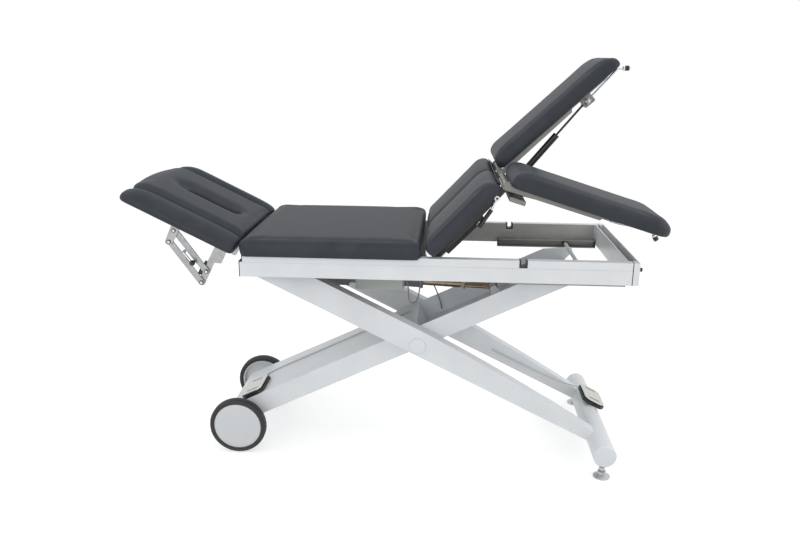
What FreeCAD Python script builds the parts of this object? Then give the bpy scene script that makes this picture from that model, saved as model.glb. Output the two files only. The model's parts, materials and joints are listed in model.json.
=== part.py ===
import FreeCAD, Part
import math
import os
from FreeCAD import Vector

# Electric treatment table: a five-section couch on a scissor lift. Millimetres.
# X runs from the head end to the foot end, Y away from the viewer, Z up.
# Everything is built with X = 0 at the middle of the side rails and moved by FRAME_X when saved.

FRAME_X = 134.0

# Fits
RUN = 0.05
SEAT_FIT = 0.3
PIN_PLAY = 1.5

# Side rails
RAIL_LENGTH = 1318.0
RAIL_OUT = 310.0
RAIL_THICK = 30.0
RAIL_BASE = 719.0
RAIL_HEIGHT = 78.0
RAIL_LIP = 27.0
RAIL_WALL = 3.0
RAIL_STEP = 10.0
CAP = 3.0
NOTCH_X = 300.0
NOTCH_WIDTH = 28.0
NOTCH_TRIM = 6.0

# Scissor lift. U runs along an arm from the centre pivot, and rise and drop are square to it.
BALL_SET = 3.0
BALL_Z = 18.0
BALL_R = 8.0
FOOT_INSET = 22.0
FOOT_R = 30.0
BAR_U = 759.99
BAR_DROP = 17.39
BAR_Z = 88.5
BAR_R = 41.0
BAR_HALF = 322.0
BAR_WALL = 3.5
CENTRE_X = -52.0
CENTRE_R = 12.5
CENTRE_CAP_R = 29.0
PIVOT_RISE = 3.0
ROLLER_U = 642.25
ROLLER_RISE = 1.65
AXLE_U = 750.33
AXLE_DROP = 11.78
TOP_R = 12.0
OUTER_IN = 155.0
OUTER_THICK = 50.0
OUTER_BELOW = 35.4
OUTER_ABOVE = 57.0
OUTER_WALL = 3.0
INNER_HALF = 150.0
INNER_BELOW = 28.0
INNER_ABOVE = 50.0
INNER_SHEET = 4.0
INNER_TAIL = 21.67
INNER_COVER_END = 16.0
ROLLER_R = 11.5
ROLLER_SHAFT_R = 7.0
AXLE_R = 10.0
WHEEL_R = 106.0
WHEEL_Y = 193.0
WHEEL_WIDTH = 34.0
DISC_R = 88.0

# Roller guides under the rails
GUIDE_X0 = 255.0
GUIDE_X1 = 643.0
GUIDE_DEPTH = 30.0
GUIDE_WALL = 3.5
GUIDE_PLAY = 0.5

# Lift drive
ANCHOR_U = -464.67
ANCHOR_W = -4.03
EYE_U = 322.85
EYE_W = 34.39
EYE_PIN_R = 5.0
EYE_PLAY = 8.2
DRIVE_TUBE_R = 24.0
DRIVE_ROD_R = 14.0
DRIVE_TUBE_END = 430.0
DRIVE_ROD_START = 300.0
FORK_LENGTH = 121.0

# Couch sections
CUSHION_HALF = 325.0
CUSHION_THICK = 50.0
EDGE_R = 18.0
SEAT_X0 = -658.0
SEAT_X1 = -42.0
HEAD_X = -686.0
HEAD_DROP = 11.0
HEAD_TILT = 26.2
HEAD_PAD_START = 3.0
HEAD_PAD_END = 423.0
HEAD_PAD_BASE = 10.0
HEAD_CENTRE_HALF = 225.0
ARMREST_IN = 228.0
SLOT_NEAR = 80.0
SLOT_FAR = 292.0
SLOT_WIDTH = 46.0
SLOT_DEPTH = 26.0
THIGH_X = 4.0
THIGH_DROP = 13.0
THIGH_TILT = 46.9
THIGH_PAD_START = 6.0
THIGH_PAD_END = 331.0
THIGH_PAD_BASE = 13.5
KNEE_U = 343.4
KNEE_W = 7.0
KNEE_R = 9.0
LEG_TILT_NEAR = -17.4
LEG_TILT_FAR = 43.0
LEG_PAD_START = 11.0
LEG_PAD_END = 562.0
LEG_PAD_BASE = 6.8
LEG_GAP = 5.0
KNEE_EDGE_R = 22.0
SIDE_LIMIT = 276.0

# Armrest parallelogram, in the head's own frame
LINK_ROOT_U = -72.3
LINK_ROOT_W = -123.5
LINK_SPACING = 45.8
LINK_DU = -160.0
LINK_DW = 86.5
LINK_WIDTH = 22.0
LINK_PIN_R = 5.0
ARM_PLATE_Y = 208.0
ARM_PLATE = 5.0
ARM_STEP = 6.0

# Gas springs
LEG_SPRING_Y = 50.0
LEG_ANCHOR_U = 58.0
LEG_ANCHOR_W = -36.0
LEG_EYE_U = 394.0
LEG_EYE_W = -14.0
LEG_TUBE_R = 12.0
LEG_TUBE_END = 246.0
LEG_ROD_R = 4.0
THIGH_SPRING_Y = -100.0
THIGH_EYE_U = 189.5
THIGH_EYE_W = -39.5
THIGH_ANCHOR_X = -28.0
THIGH_ANCHOR_DROP = 60.0
THIGH_TUBE_R = 14.0
THIGH_TUBE_END = 172.0
THIGH_ROD_R = 5.0
SPRING_PIN_R = 4.0
SPRING_EYE_R = 9.0
SPRING_EYE_WIDTH = 12.0
SPRING_NECK_R = 5.4
SPRING_NECK = 26.0
LEG_PIN_PLAY = 7.8
CROSS_RISE = 35.0

# Foot switches
TREADLE_LENGTH = 84.0
TREADLE_WIDTH = 140.0
TREADLE_SHEET = 3.0
TREADLE_GAP = 4.0
TREADLE_BASE = 12.0
TREADLE_RIB_R = 4.0
HEAD_TREADLE_U = -672.0
HEAD_TREADLE_Y = -78.0
FOOT_TREADLE_U = 757.0
FOOT_TREADLE_Y = 78.0

LEAD_R = 2.5

# Values that follow from the ones above
RAIL_TOP = RAIL_BASE + RAIL_HEIGHT
RAIL_IN = RAIL_OUT - RAIL_THICK
RAIL_END = RAIL_LENGTH / 2
GROOVE_Z = RAIL_TOP - RAIL_LIP
SEAT_BASE = RAIL_TOP + SEAT_FIT
OUTER_OUT = OUTER_IN + OUTER_THICK
FOOT_Y = BAR_HALF - FOOT_INSET
HEAD_Z = RAIL_TOP - HEAD_DROP
THIGH_Z = RAIL_TOP - THIGH_DROP
INNER_LOW_END = -AXLE_U - INNER_TAIL

# The scissor stands at the slopes that put its rollers under the rails, and its wheels and its bar at
# their heights
ROLLER_Z = RAIL_BASE + PIVOT_RISE
TOP_Z = ROLLER_Z
CROSS_BASE = TOP_Z + CROSS_RISE
THIGH_ANCHOR_Z = CROSS_BASE - THIGH_ANCHOR_DROP


def slope_for(climb, run, offset):
    """Slope in radians at which a point at (run, offset) of an arm climbs this much."""
    return math.asin(climb / math.hypot(run, offset)) - math.atan2(offset, run)


inner_angle = slope_for(ROLLER_Z - WHEEL_R, ROLLER_U + AXLE_U, ROLLER_RISE + AXLE_DROP)
INNER_SLOPE = math.degrees(inner_angle)
CENTRE_Z = WHEEL_R + AXLE_U * math.sin(inner_angle) + AXLE_DROP * math.cos(inner_angle)
REACH_X = ROLLER_U * math.cos(inner_angle) - ROLLER_RISE * math.sin(inner_angle)
TOP_X = CENTRE_X - REACH_X
ROLLER_X = CENTRE_X + REACH_X
WHEEL_X = CENTRE_X - AXLE_U * math.cos(inner_angle) + AXLE_DROP * math.sin(inner_angle)
outer_angle = slope_for(CENTRE_Z - BAR_Z, BAR_U, BAR_DROP)
OUTER_SLOPE = math.degrees(outer_angle)
BAR_X = CENTRE_X + BAR_U * math.cos(outer_angle) - BAR_DROP * math.sin(outer_angle)
BALL_X = BAR_X - BALL_SET


def turn(u, w, degrees):
    """Turn a point of the XZ plane anticlockwise as the viewer sees it."""
    a = math.radians(degrees)
    return (u * math.cos(a) - w * math.sin(a), u * math.sin(a) + w * math.cos(a))


def at(origin, degrees, u, w):
    """Table position of a point given in a frame at origin turned by degrees."""
    du, dw = turn(u, w, degrees)
    return (origin[0] + du, origin[1] + dw)


def inside(origin, degrees, x, z):
    """The same the other way round: a table position in a turned frame."""
    return turn(x - origin[0], z - origin[1], -degrees)


CENTRE = (CENTRE_X, CENTRE_Z)
HEAD = (HEAD_X, HEAD_Z)
THIGH = (THIGH_X, THIGH_Z)
KNEE = at(THIGH, THIGH_TILT, KNEE_U, KNEE_W)
ANCHOR_X, ANCHOR_Z = at(CENTRE, -OUTER_SLOPE, ANCHOR_U, ANCHOR_W)
EYE_X, EYE_Z = at(CENTRE, INNER_SLOPE, EYE_U, EYE_W)


def rounded(corners, place):
    """Closed wire through (a, b) or (a, b, radius) corners, with tangent arcs."""
    spots = []
    count = len(corners)
    for i in range(count):
        here = Vector(corners[i][0], corners[i][1], 0)
        radius = corners[i][2] if len(corners[i]) > 2 else 0.0
        before = corners[i - 1]
        after = corners[(i + 1) % count]
        back = (Vector(before[0], before[1], 0) - here).normalize()
        ahead = (Vector(after[0], after[1], 0) - here).normalize()
        if radius <= 0:
            spots.append((here, None, here))
            continue
        half = back.getAngle(ahead) / 2
        step = radius / math.tan(half)
        middle = (back + ahead).normalize()
        bulge = here + middle * (radius / math.sin(half) - radius)
        spots.append((here + back * step, bulge, here + ahead * step))
    edges = []
    for i in range(count):
        first, bulge, last = spots[i]
        if bulge is not None:
            points = [place(p.x, p.y) for p in (first, bulge, last)]
            edges.append(Part.Arc(*points).toShape())
        start = spots[(i + 1) % count][0]
        if (start - last).Length > 1e-6:
            edges.append(Part.makeLine(place(last.x, last.y), place(start.x, start.y)))
    return Part.Wire(edges)


def slab_xz(corners, y0, y1):
    wire = rounded(corners, lambda a, b: Vector(a, y0, b))
    return Part.Face(wire).extrude(Vector(0, y1 - y0, 0))


def slab_xy(corners, z0, z1):
    wire = rounded(corners, lambda a, b: Vector(a, b, z0))
    return Part.Face(wire).extrude(Vector(0, 0, z1 - z0))


def slab_yz(corners, x0, x1):
    wire = rounded(corners, lambda a, b: Vector(x0, a, b))
    return Part.Face(wire).extrude(Vector(x1 - x0, 0, 0))


def box(x0, x1, y0, y1, z0, z1):
    return Part.makeBox(x1 - x0, y1 - y0, z1 - z0, Vector(x0, y0, z0))


def round_y(x, z, radius, y0, y1):
    return Part.makeCylinder(radius, y1 - y0, Vector(x, y0, z), Vector(0, 1, 0))


def turned_y(x, z, profile):
    """Solid of revolution about the Y line through (x, z) from (radius, y) corners."""
    points = [Vector(x + r, y, z) for r, y in profile]
    face = Part.Face(Part.makePolygon(points + points[:1]))
    return face.revolve(Vector(x, 0, z), Vector(0, 1, 0), 360)


def turned_z(x, y, profile):
    """Solid of revolution about the Z line through (x, y) from (radius, z) corners."""
    points = [Vector(x + r, y, z) for r, z in profile]
    face = Part.Face(Part.makePolygon(points + points[:1]))
    return face.revolve(Vector(x, y, 0), Vector(0, 0, 1), 360)


def ball(x, y, z, radius):
    return Part.makeSphere(radius, Vector(x, y, z))


def joined(shapes):
    return shapes[0].multiFuse(shapes[1:]).removeSplitter()


def group(shapes):
    return Part.makeCompound(shapes)


def mirrored(shape):
    return shape.mirror(Vector(0, 0, 0), Vector(0, 1, 0))


def placed(shape, origin, degrees):
    """Move a shape built around (0, 0) to origin, turned anticlockwise."""
    result = shape.copy()
    result.rotate(Vector(0, 0, 0), Vector(0, -1, 0), degrees)
    result.translate(Vector(origin[0], 0, origin[1]))
    return result


def bent_rod(points, radius, bend):
    """Round rod through 3-D points, straight runs joined by tangent arcs."""
    corners = [Vector(*p) for p in points]
    edges = []
    last = corners[0]
    for i in range(1, len(corners) - 1):
        came = (corners[i] - corners[i - 1]).normalize()
        goes = (corners[i + 1] - corners[i]).normalize()
        angle = came.getAngle(goes)
        step = bend * math.tan(angle / 2)
        first = corners[i] - came * step
        end = corners[i] + goes * step
        inward = (goes - came).normalize()
        bulge = corners[i] + inward * (bend / math.cos(angle / 2) - bend)
        edges.append(Part.LineSegment(last, first).toShape())
        edges.append(Part.Arc(first, bulge, end).toShape())
        last = end
    edges.append(Part.LineSegment(last, corners[-1]).toShape())
    path = Part.Wire(edges)
    heading = (corners[1] - corners[0]).normalize()
    ring = Part.Wire([Part.makeCircle(radius, corners[0], heading)])
    return path.makePipeShell([ring], True, True)


def cushion(corners, z0, z1, top, bottom):
    """Upholstered pad: rounded outline with soft upper and lower edges."""
    pad = slab_xy(corners, z0, z1)
    upper = []
    lower = []
    for edge in pad.Edges:
        if abs(edge.BoundBox.ZMin - z1) < 1e-6 and abs(edge.BoundBox.ZMax - z1) < 1e-6:
            upper.append(edge)
        if abs(edge.BoundBox.ZMin - z0) < 1e-6 and abs(edge.BoundBox.ZMax - z0) < 1e-6:
            lower.append(edge)
    pad = pad.makeFillet(top, upper)
    lower = []
    for edge in pad.Edges:
        if abs(edge.BoundBox.ZMin - z0) < 1e-6 and abs(edge.BoundBox.ZMax - z0) < 1e-6:
            lower.append(edge)
    return pad.makeFillet(bottom, lower)


def stadium(a, b, width, y0, y1):
    """Flat bar with round ends between two points of the XZ plane."""
    dx = b[0] - a[0]
    dz = b[1] - a[1]
    length = math.hypot(dx, dz)
    side = (-dz / length * width / 2, dx / length * width / 2)
    out = (dx / length * width / 2, dz / length * width / 2)
    first = Vector(a[0] + side[0], y0, a[1] + side[1])
    second = Vector(b[0] + side[0], y0, b[1] + side[1])
    third = Vector(b[0] - side[0], y0, b[1] - side[1])
    fourth = Vector(a[0] - side[0], y0, a[1] - side[1])
    edges = [
        Part.makeLine(first, second),
        Part.Arc(second, Vector(b[0] + out[0], y0, b[1] + out[1]), third).toShape(),
        Part.makeLine(third, fourth),
        Part.Arc(fourth, Vector(a[0] - out[0], y0, a[1] - out[1]), first).toShape(),
    ]
    return Part.Face(Part.Wire(edges)).extrude(Vector(0, y1 - y0, 0))


nodes = {}


# Feet and foot bar
def foot_disc(y):
    top = BALL_Z + 5
    rim = math.sqrt((BALL_R + RUN) ** 2 - 25)
    profile = [(0, 0), (FOOT_R, 0), (FOOT_R, 4), (14, 13), (14, top), (rim, top), (0, top)]
    disc = turned_z(BALL_X, y, profile)
    return disc.cut(ball(BALL_X, y, BALL_Z, BALL_R + RUN))


def foot_stem(y):
    neck = BALL_R * 0.55
    profile = [(0, BALL_Z), (neck, BALL_Z), (neck, 30), (10, 30), (10, 38), (6, 38), (6, 60), (0, 60)]
    return joined([turned_z(BALL_X, y, profile), ball(BALL_X, y, BALL_Z, BALL_R)])


nodes["foot_discs"] = group([foot_disc(-FOOT_Y), foot_disc(FOOT_Y)])
nodes["foot_stems"] = group([foot_stem(-FOOT_Y), foot_stem(FOOT_Y)])

bore = BAR_R - BAR_WALL
bar_profile = [(0, -BAR_HALF), (BAR_R - 3, -BAR_HALF), (BAR_R, -BAR_HALF + 3), (BAR_R, BAR_HALF - 3),
               (BAR_R - 3, BAR_HALF), (0, BAR_HALF)]
bar = turned_y(BAR_X, BAR_Z, bar_profile)
bar = bar.cut(round_y(BAR_X, BAR_Z, bore, -BAR_HALF + BAR_WALL, BAR_HALF - BAR_WALL))
for y in (-FOOT_Y, FOOT_Y):
    bar = bar.cut(Part.makeCylinder(6 + RUN, 60, Vector(BALL_X, y, 20)))
nodes["foot_bar"] = bar


# Outer scissor arms: tapered box tube along the slope, origin at the centre pivot
def outer_frame(x, z):
    return inside(CENTRE, -OUTER_SLOPE, x, z)


top_u, top_w = outer_frame(TOP_X, TOP_Z)
bar_u, bar_w = outer_frame(BAR_X, BAR_Z)
end_r = OUTER_BELOW + top_w


def outer_outline(inset):
    """Side view of an arm: straight under edge, upper edge falling to the foot bar."""
    low = -OUTER_BELOW + inset
    high = OUTER_ABOVE - inset
    round_r = end_r - inset
    shoulder = (top_u + 170.0, high)
    lean = math.atan2(high - (top_w + round_r), shoulder[0] - top_u)
    crest = (top_u - round_r * math.sin(lean), top_w + round_r * math.cos(lean))
    foot_top = bar_w + 26.0 - inset
    start = Vector(top_u, 0, low)
    edges = [
        Part.makeLine(start, Vector(bar_u, 0, low)),
        Part.makeLine(Vector(bar_u, 0, low), Vector(bar_u, 0, foot_top - 6)),
        Part.Arc(
            Vector(bar_u, 0, foot_top - 6),
            Vector(bar_u * 0.64, 0, 30.0 - inset),
            Vector(0, 0, high),
        ).toShape(),
        Part.makeLine(Vector(0, 0, high), Vector(shoulder[0], 0, high)),
        Part.makeLine(Vector(shoulder[0], 0, high), Vector(crest[0], 0, crest[1])),
        Part.Arc(Vector(crest[0], 0, crest[1]), Vector(top_u - round_r, 0, top_w), start).toShape(),
    ]
    return Part.Face(Part.Wire(edges))


def outer_arm():
    body = outer_outline(0.0).extrude(Vector(0, OUTER_THICK, 0))
    body.translate(Vector(0, -OUTER_OUT, 0))
    hollow = outer_outline(OUTER_WALL).extrude(Vector(0, OUTER_THICK - 2 * OUTER_WALL, 0))
    hollow.translate(Vector(0, -OUTER_OUT + OUTER_WALL, 0))
    arm = body.cut(hollow)
    arm = arm.cut(round_y(0, 0, CENTRE_R + RUN, -OUTER_OUT, -OUTER_IN))
    arm = arm.cut(round_y(top_u, top_w, TOP_R + RUN, -OUTER_OUT, -OUTER_IN))
    arm = placed(arm, CENTRE, -OUTER_SLOPE)
    return arm.cut(round_y(BAR_X, BAR_Z, BAR_R, -BAR_HALF, BAR_HALF))


nodes["outer_arm_near"] = outer_arm()
nodes["outer_arm_far"] = mirrored(nodes["outer_arm_near"])

cross = round_y(ANCHOR_X, ANCHOR_Z, 16.0, -OUTER_IN, OUTER_IN)
cross = cross.cut(round_y(ANCHOR_X, ANCHOR_Z, 13.0, -OUTER_IN, OUTER_IN))
nodes["outer_cross_tube"] = cross

cap_y = OUTER_OUT + 5
pivot_profile = [(0, -cap_y), (CENTRE_CAP_R - 2, -cap_y), (CENTRE_CAP_R, -cap_y + 2),
                 (CENTRE_CAP_R, -OUTER_OUT - 0.4),
                 (CENTRE_R, -OUTER_OUT - 0.4), (CENTRE_R, OUTER_OUT + 0.4), (CENTRE_CAP_R, OUTER_OUT + 0.4),
                 (CENTRE_CAP_R, cap_y - 2), (CENTRE_CAP_R - 2, cap_y), (0, cap_y)]
nodes["centre_pivot"] = turned_y(CENTRE_X, CENTRE_Z, pivot_profile)


# Inner scissor frame: closed box below the pivot, open channel above it
def inner_frame(x, z):
    return inside(CENTRE, INNER_SLOPE, x, z)


roll_u, roll_w = inner_frame(ROLLER_X, ROLLER_Z)
axle_u, axle_w = inner_frame(WHEEL_X, WHEEL_R)
eye_u, eye_w = inner_frame(EYE_X, EYE_Z)
inner_in = INNER_HALF - INNER_SHEET
nose = 10.0
side = [(INNER_LOW_END, -INNER_BELOW, 12), (roll_u - 40, -INNER_BELOW), (roll_u + nose, roll_w - nose, 6),
        (roll_u + nose, roll_w + nose, 6), (roll_u - 90, INNER_ABOVE), (INNER_LOW_END, INNER_ABOVE, 12)]
frame = slab_xz(side, -INNER_HALF, INNER_HALF)
low_start = INNER_LOW_END + INNER_SHEET
low_end = INNER_COVER_END - INNER_SHEET
floor_w = -INNER_BELOW + INNER_SHEET
lower_room = slab_xz([(low_start, floor_w), (low_end, floor_w), (low_end, INNER_ABOVE - INNER_SHEET),
                      (low_start, INNER_ABOVE - INNER_SHEET)], -inner_in, inner_in)
upper_room = slab_xz([(INNER_COVER_END, floor_w), (roll_u - 42, floor_w), (roll_u + 60, roll_w - 24),
                      (roll_u + 60, 80), (INNER_COVER_END, 80)], -inner_in, inner_in)
frame = frame.cut(lower_room).cut(upper_room)
frame = frame.cut(round_y(0, 0, CENTRE_R + RUN, -INNER_HALF, INNER_HALF))
frame = frame.cut(round_y(axle_u, axle_w, AXLE_R + 0.02, -INNER_HALF, INNER_HALF))
lug = 30.0
eye_lugs = []
for y in (lug, -lug - 6):
    eye_lugs.append(slab_xz([(eye_u - 26, floor_w - 1), (eye_u + 26, floor_w - 1),
                             (eye_u + 11, eye_w + 11, 9),
                             (eye_u - 11, eye_w + 11, 9)], y, y + 6))
eye_pin = round_y(eye_u, eye_w, EYE_PIN_R, -lug - 9, lug + 9)
roller_shaft = round_y(roll_u, roll_w, ROLLER_SHAFT_R, -RAIL_IN + GUIDE_WALL + 3, RAIL_IN - GUIDE_WALL - 3)
frame = joined([frame, roller_shaft, eye_pin] + eye_lugs)
nodes["inner_frame"] = placed(frame, CENTRE, INNER_SLOPE)

nodes["wheel_axle"] = round_y(WHEEL_X, WHEEL_R, AXLE_R, -WHEEL_Y - 24, WHEEL_Y + 24)


def tyre():
    y0 = -WHEEL_Y - WHEEL_WIDTH
    y1 = -WHEEL_Y
    soft = 7.0
    profile = [(DISC_R, y0 + 3), (WHEEL_R - soft, y0), (WHEEL_R - 2, y0 + 3), (WHEEL_R, y0 + soft + 2),
               (WHEEL_R, y1 - soft - 2), (WHEEL_R - 2, y1 - 3), (WHEEL_R - soft, y1), (DISC_R, y1 - 3)]
    return turned_y(WHEEL_X, WHEEL_R, profile)


def disc():
    y0 = -WHEEL_Y - WHEEL_WIDTH + 2.5
    y1 = -WHEEL_Y - 4
    hub_in = -INNER_HALF - 0.5
    hole = AXLE_R + RUN
    profile = [(0, y0), (DISC_R - 8, y0), (DISC_R, y0 + 1.5), (DISC_R, y1), (DISC_R - 5, y1),
               (DISC_R - 5, y0 + 6),
               (24, y0 + 6), (20, hub_in), (hole, hub_in), (hole, y0 + 7.5), (0, y0 + 7.5)]
    return turned_y(WHEEL_X, WHEEL_R, profile)


nodes["tyre_near"] = tyre()
nodes["disc_near"] = disc()
nodes["tyre_far"] = mirrored(nodes["tyre_near"])
nodes["disc_far"] = mirrored(nodes["disc_near"])

guide_in = 2 * (ROLLER_R + GUIDE_PLAY)
guide_y = RAIL_IN - GUIDE_DEPTH


def guide_roller():
    ring = round_y(ROLLER_X, ROLLER_Z, ROLLER_R, guide_y + 4, RAIL_IN - GUIDE_WALL - 4)
    return ring.cut(round_y(ROLLER_X, ROLLER_Z, ROLLER_SHAFT_R + RUN, guide_y, RAIL_IN))


nodes["guide_rollers"] = group([guide_roller(), mirrored(guide_roller())])


# Foot switches: rubber base with a rocking metal treadle, built flat and then tilted
def hexagon(length, width, grow):
    half = length / 2 + grow
    side_y = width / 2 + grow
    tip = 16.0
    return [(-half, -side_y + tip, 4), (-half + tip, -side_y, 4), (half - tip, -side_y, 4),
            (half, -side_y + tip, 4),
            (half, side_y - tip, 4), (half - tip, side_y, 4), (-half + tip, side_y, 4),
            (-half, side_y - tip, 4)]


def treadle_base(u, w, y):
    base = slab_xy(hexagon(TREADLE_LENGTH, TREADLE_WIDTH, 3.0), 0, TREADLE_BASE)
    base = base.cut(round_y(0, TREADLE_BASE, TREADLE_RIB_R + RUN, -TREADLE_WIDTH, TREADLE_WIDTH))
    base.translate(Vector(u, y, w))
    return base


def treadle_plate(u, w, y):
    low = TREADLE_BASE + TREADLE_GAP
    plate = slab_xy(hexagon(TREADLE_LENGTH, TREADLE_WIDTH, 0.0), low, low + TREADLE_SHEET)
    for slot_y in (-TREADLE_WIDTH * 0.32, TREADLE_WIDTH * 0.32):
        slot = slab_xy([(-24, slot_y - 4, 3.9), (24, slot_y - 4, 3.9), (24, slot_y + 4, 3.9),
                        (-24, slot_y + 4, 3.9)],
                       low - 1, low + TREADLE_SHEET + 1)
        plate = plate.cut(slot)
    rib = round_y(0, TREADLE_BASE, TREADLE_RIB_R, -TREADLE_WIDTH * 0.24, TREADLE_WIDTH * 0.24)
    web = box(-2.5, 2.5, -TREADLE_WIDTH * 0.24, TREADLE_WIDTH * 0.24, TREADLE_BASE, low + 1)
    plate = joined([plate, rib, web])
    plate.translate(Vector(u, y, w))
    return plate


foot_treadle_w = bar_w + BAR_R + SEAT_FIT
seat_block = box(FOOT_TREADLE_U - 20, FOOT_TREADLE_U + 20, FOOT_TREADLE_Y - 40, FOOT_TREADLE_Y + 40,
                 bar_w + BAR_R * 0.6, foot_treadle_w + 2)
foot_base = treadle_base(FOOT_TREADLE_U, foot_treadle_w, FOOT_TREADLE_Y).fuse(seat_block)
foot_base = placed(foot_base.removeSplitter(), CENTRE, -OUTER_SLOPE)
nodes["foot_pedal_base"] = foot_base.cut(round_y(BAR_X, BAR_Z, BAR_R, -BAR_HALF, BAR_HALF))
foot_plate = treadle_plate(FOOT_TREADLE_U, foot_treadle_w, FOOT_TREADLE_Y)
nodes["foot_pedal_plate"] = placed(foot_plate, CENTRE, -OUTER_SLOPE)
head_base = treadle_base(HEAD_TREADLE_U, INNER_ABOVE, HEAD_TREADLE_Y)
nodes["head_pedal_base"] = placed(head_base, CENTRE, INNER_SLOPE)
head_plate = treadle_plate(HEAD_TREADLE_U, INNER_ABOVE, HEAD_TREADLE_Y)
nodes["head_pedal_plate"] = placed(head_plate, CENTRE, INNER_SLOPE)


# Lift drive, built along +X from its anchor and then turned to the eye
drive_length = math.hypot(EYE_X - ANCHOR_X, EYE_Z - ANCHOR_Z)
drive_tilt = math.degrees(math.atan2(EYE_Z - ANCHOR_Z, EYE_X - ANCHOR_X))
collar = turned_y(0, 0, [(16 + RUN, -14), (26, -14), (26, 14), (16 + RUN, 14)])
gear = slab_xy([(20, -30, 8), (150, -30, 8), (150, 30, 8), (20, 30, 8)], -28, 34)
motor = Part.makeCylinder(26, 70, Vector(40, 0, -20), Vector(1, 0, 0))
tube = Part.makeCylinder(DRIVE_TUBE_R, DRIVE_TUBE_END - 100, Vector(100, 0, 0), Vector(1, 0, 0))
neck_ring = Part.makeCylinder(DRIVE_TUBE_R + 3, 14, Vector(DRIVE_TUBE_END - 14, 0, 0), Vector(1, 0, 0))
drive = joined([collar, gear, motor, tube, neck_ring])
drive = drive.cut(round_y(0, 0, 16 + RUN, -40, 40))
drive = drive.cut(Part.makeCylinder(DRIVE_ROD_R + RUN, DRIVE_TUBE_END, Vector(170, 0, 0), Vector(1, 0, 0)))
nodes["actuator_body"] = placed(drive, (ANCHOR_X, ANCHOR_Z), drive_tilt)

fork_start = drive_length - FORK_LENGTH
rod = Part.makeCylinder(DRIVE_ROD_R, fork_start - DRIVE_ROD_START, Vector(DRIVE_ROD_START, 0, 0),
                        Vector(1, 0, 0))
head_block = slab_xy([(fork_start - 2, -27, 5), (fork_start + 16, -27, 5), (fork_start + 16, 27, 5),
                      (fork_start - 2, 27, 5)], -10, 10)
eye_r = EYE_PIN_R + EYE_PLAY
pieces = [rod, head_block]
for y in (-20.0, 20.0):
    pieces.append(Part.makeCylinder(6.0, FORK_LENGTH - 22, Vector(fork_start + 8, y, 0), Vector(1, 0, 0)))
    pieces.append(round_y(drive_length, 0, eye_r + 4.0, y - 6, y + 6))
fork = joined(pieces).cut(round_y(drive_length, 0, eye_r, -40, 40))
nodes["actuator_rod"] = placed(fork, (ANCHOR_X, ANCHOR_Z), drive_tilt)


# Side rails: hollow extrusion with a web at the groove line, notch in the upper part
def rail():
    section = [(-RAIL_OUT, RAIL_BASE, 2), (-RAIL_IN, RAIL_BASE, 2), (-RAIL_IN, RAIL_TOP, 2),
               (-RAIL_OUT, RAIL_TOP, 2)]
    body = slab_yz(section, -RAIL_END, RAIL_END)
    for z0, z1 in ((RAIL_BASE + RAIL_WALL, GROOVE_Z - RAIL_WALL / 2),
                   (GROOVE_Z + RAIL_WALL / 2, RAIL_TOP - RAIL_WALL)):
        body = body.cut(box(-RAIL_END, RAIL_END, -RAIL_OUT + RAIL_WALL, -RAIL_IN - RAIL_WALL, z0, z1))
    body = body.cut(box(-RAIL_END, RAIL_END, -RAIL_OUT, -RAIL_OUT + 1.2, GROOVE_Z - 1, GROOVE_Z + 1))
    body = body.cut(box(-RAIL_END, -RAIL_END + RAIL_STEP, -RAIL_OUT, -RAIL_IN, GROOVE_Z + RAIL_WALL / 2,
                        RAIL_TOP))
    body = body.cut(box(NOTCH_X - NOTCH_WIDTH / 2, NOTCH_X + NOTCH_WIDTH / 2, -RAIL_OUT, -RAIL_IN,
                        GROOVE_Z + RAIL_WALL / 2, RAIL_TOP))
    return body.cut(round_y(THIGH_X, THIGH_Z, 7 + RUN, -RAIL_IN - RAIL_WALL, -RAIL_IN))


def rail_caps():
    step_z = GROOVE_Z + RAIL_WALL / 2
    left = -RAIL_END
    inner = left + RAIL_STEP
    head_cap = slab_xz([(left - CAP, RAIL_BASE), (left, RAIL_BASE), (left, step_z), (inner, step_z),
                        (inner, RAIL_TOP),
                        (inner - CAP, RAIL_TOP), (inner - CAP, step_z + CAP), (left - CAP, step_z + CAP)],
                       -RAIL_OUT, -RAIL_IN)
    foot_cap = box(RAIL_END, RAIL_END + CAP, -RAIL_OUT, -RAIL_IN, RAIL_BASE, RAIL_TOP)
    n0 = NOTCH_X - NOTCH_WIDTH / 2
    n1 = NOTCH_X + NOTCH_WIDTH / 2
    trim = slab_xz([(n0, step_z), (n1, step_z), (n1, RAIL_TOP), (n1 - NOTCH_TRIM, RAIL_TOP),
                    (n1 - NOTCH_TRIM, step_z + NOTCH_TRIM, 5), (n0 + NOTCH_TRIM, step_z + NOTCH_TRIM, 5),
                    (n0 + NOTCH_TRIM, RAIL_TOP), (n0, RAIL_TOP)], -RAIL_OUT, -RAIL_IN)
    g0 = ROLLER_Z - guide_in / 2 - GUIDE_WALL
    g1 = ROLLER_Z + guide_in / 2 + GUIDE_WALL
    low_guide = box(GUIDE_X0 - CAP, GUIDE_X0, -RAIL_IN, -guide_y, g0, g1)
    high_guide = box(GUIDE_X1, GUIDE_X1 + CAP - SEAT_FIT, -RAIL_IN, -guide_y, g0, g1)
    return [head_cap, foot_cap, trim, low_guide, high_guide]


def guide():
    z0 = ROLLER_Z - guide_in / 2
    z1 = ROLLER_Z + guide_in / 2
    corners = [(-RAIL_IN, z0 - GUIDE_WALL), (-guide_y, z0 - GUIDE_WALL), (-guide_y, z0),
               (-RAIL_IN + GUIDE_WALL, z0),
               (-RAIL_IN + GUIDE_WALL, z1), (-guide_y, z1), (-guide_y, z1 + GUIDE_WALL),
               (-RAIL_IN, z1 + GUIDE_WALL)]
    return slab_yz(corners, GUIDE_X0, GUIDE_X1)


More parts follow.
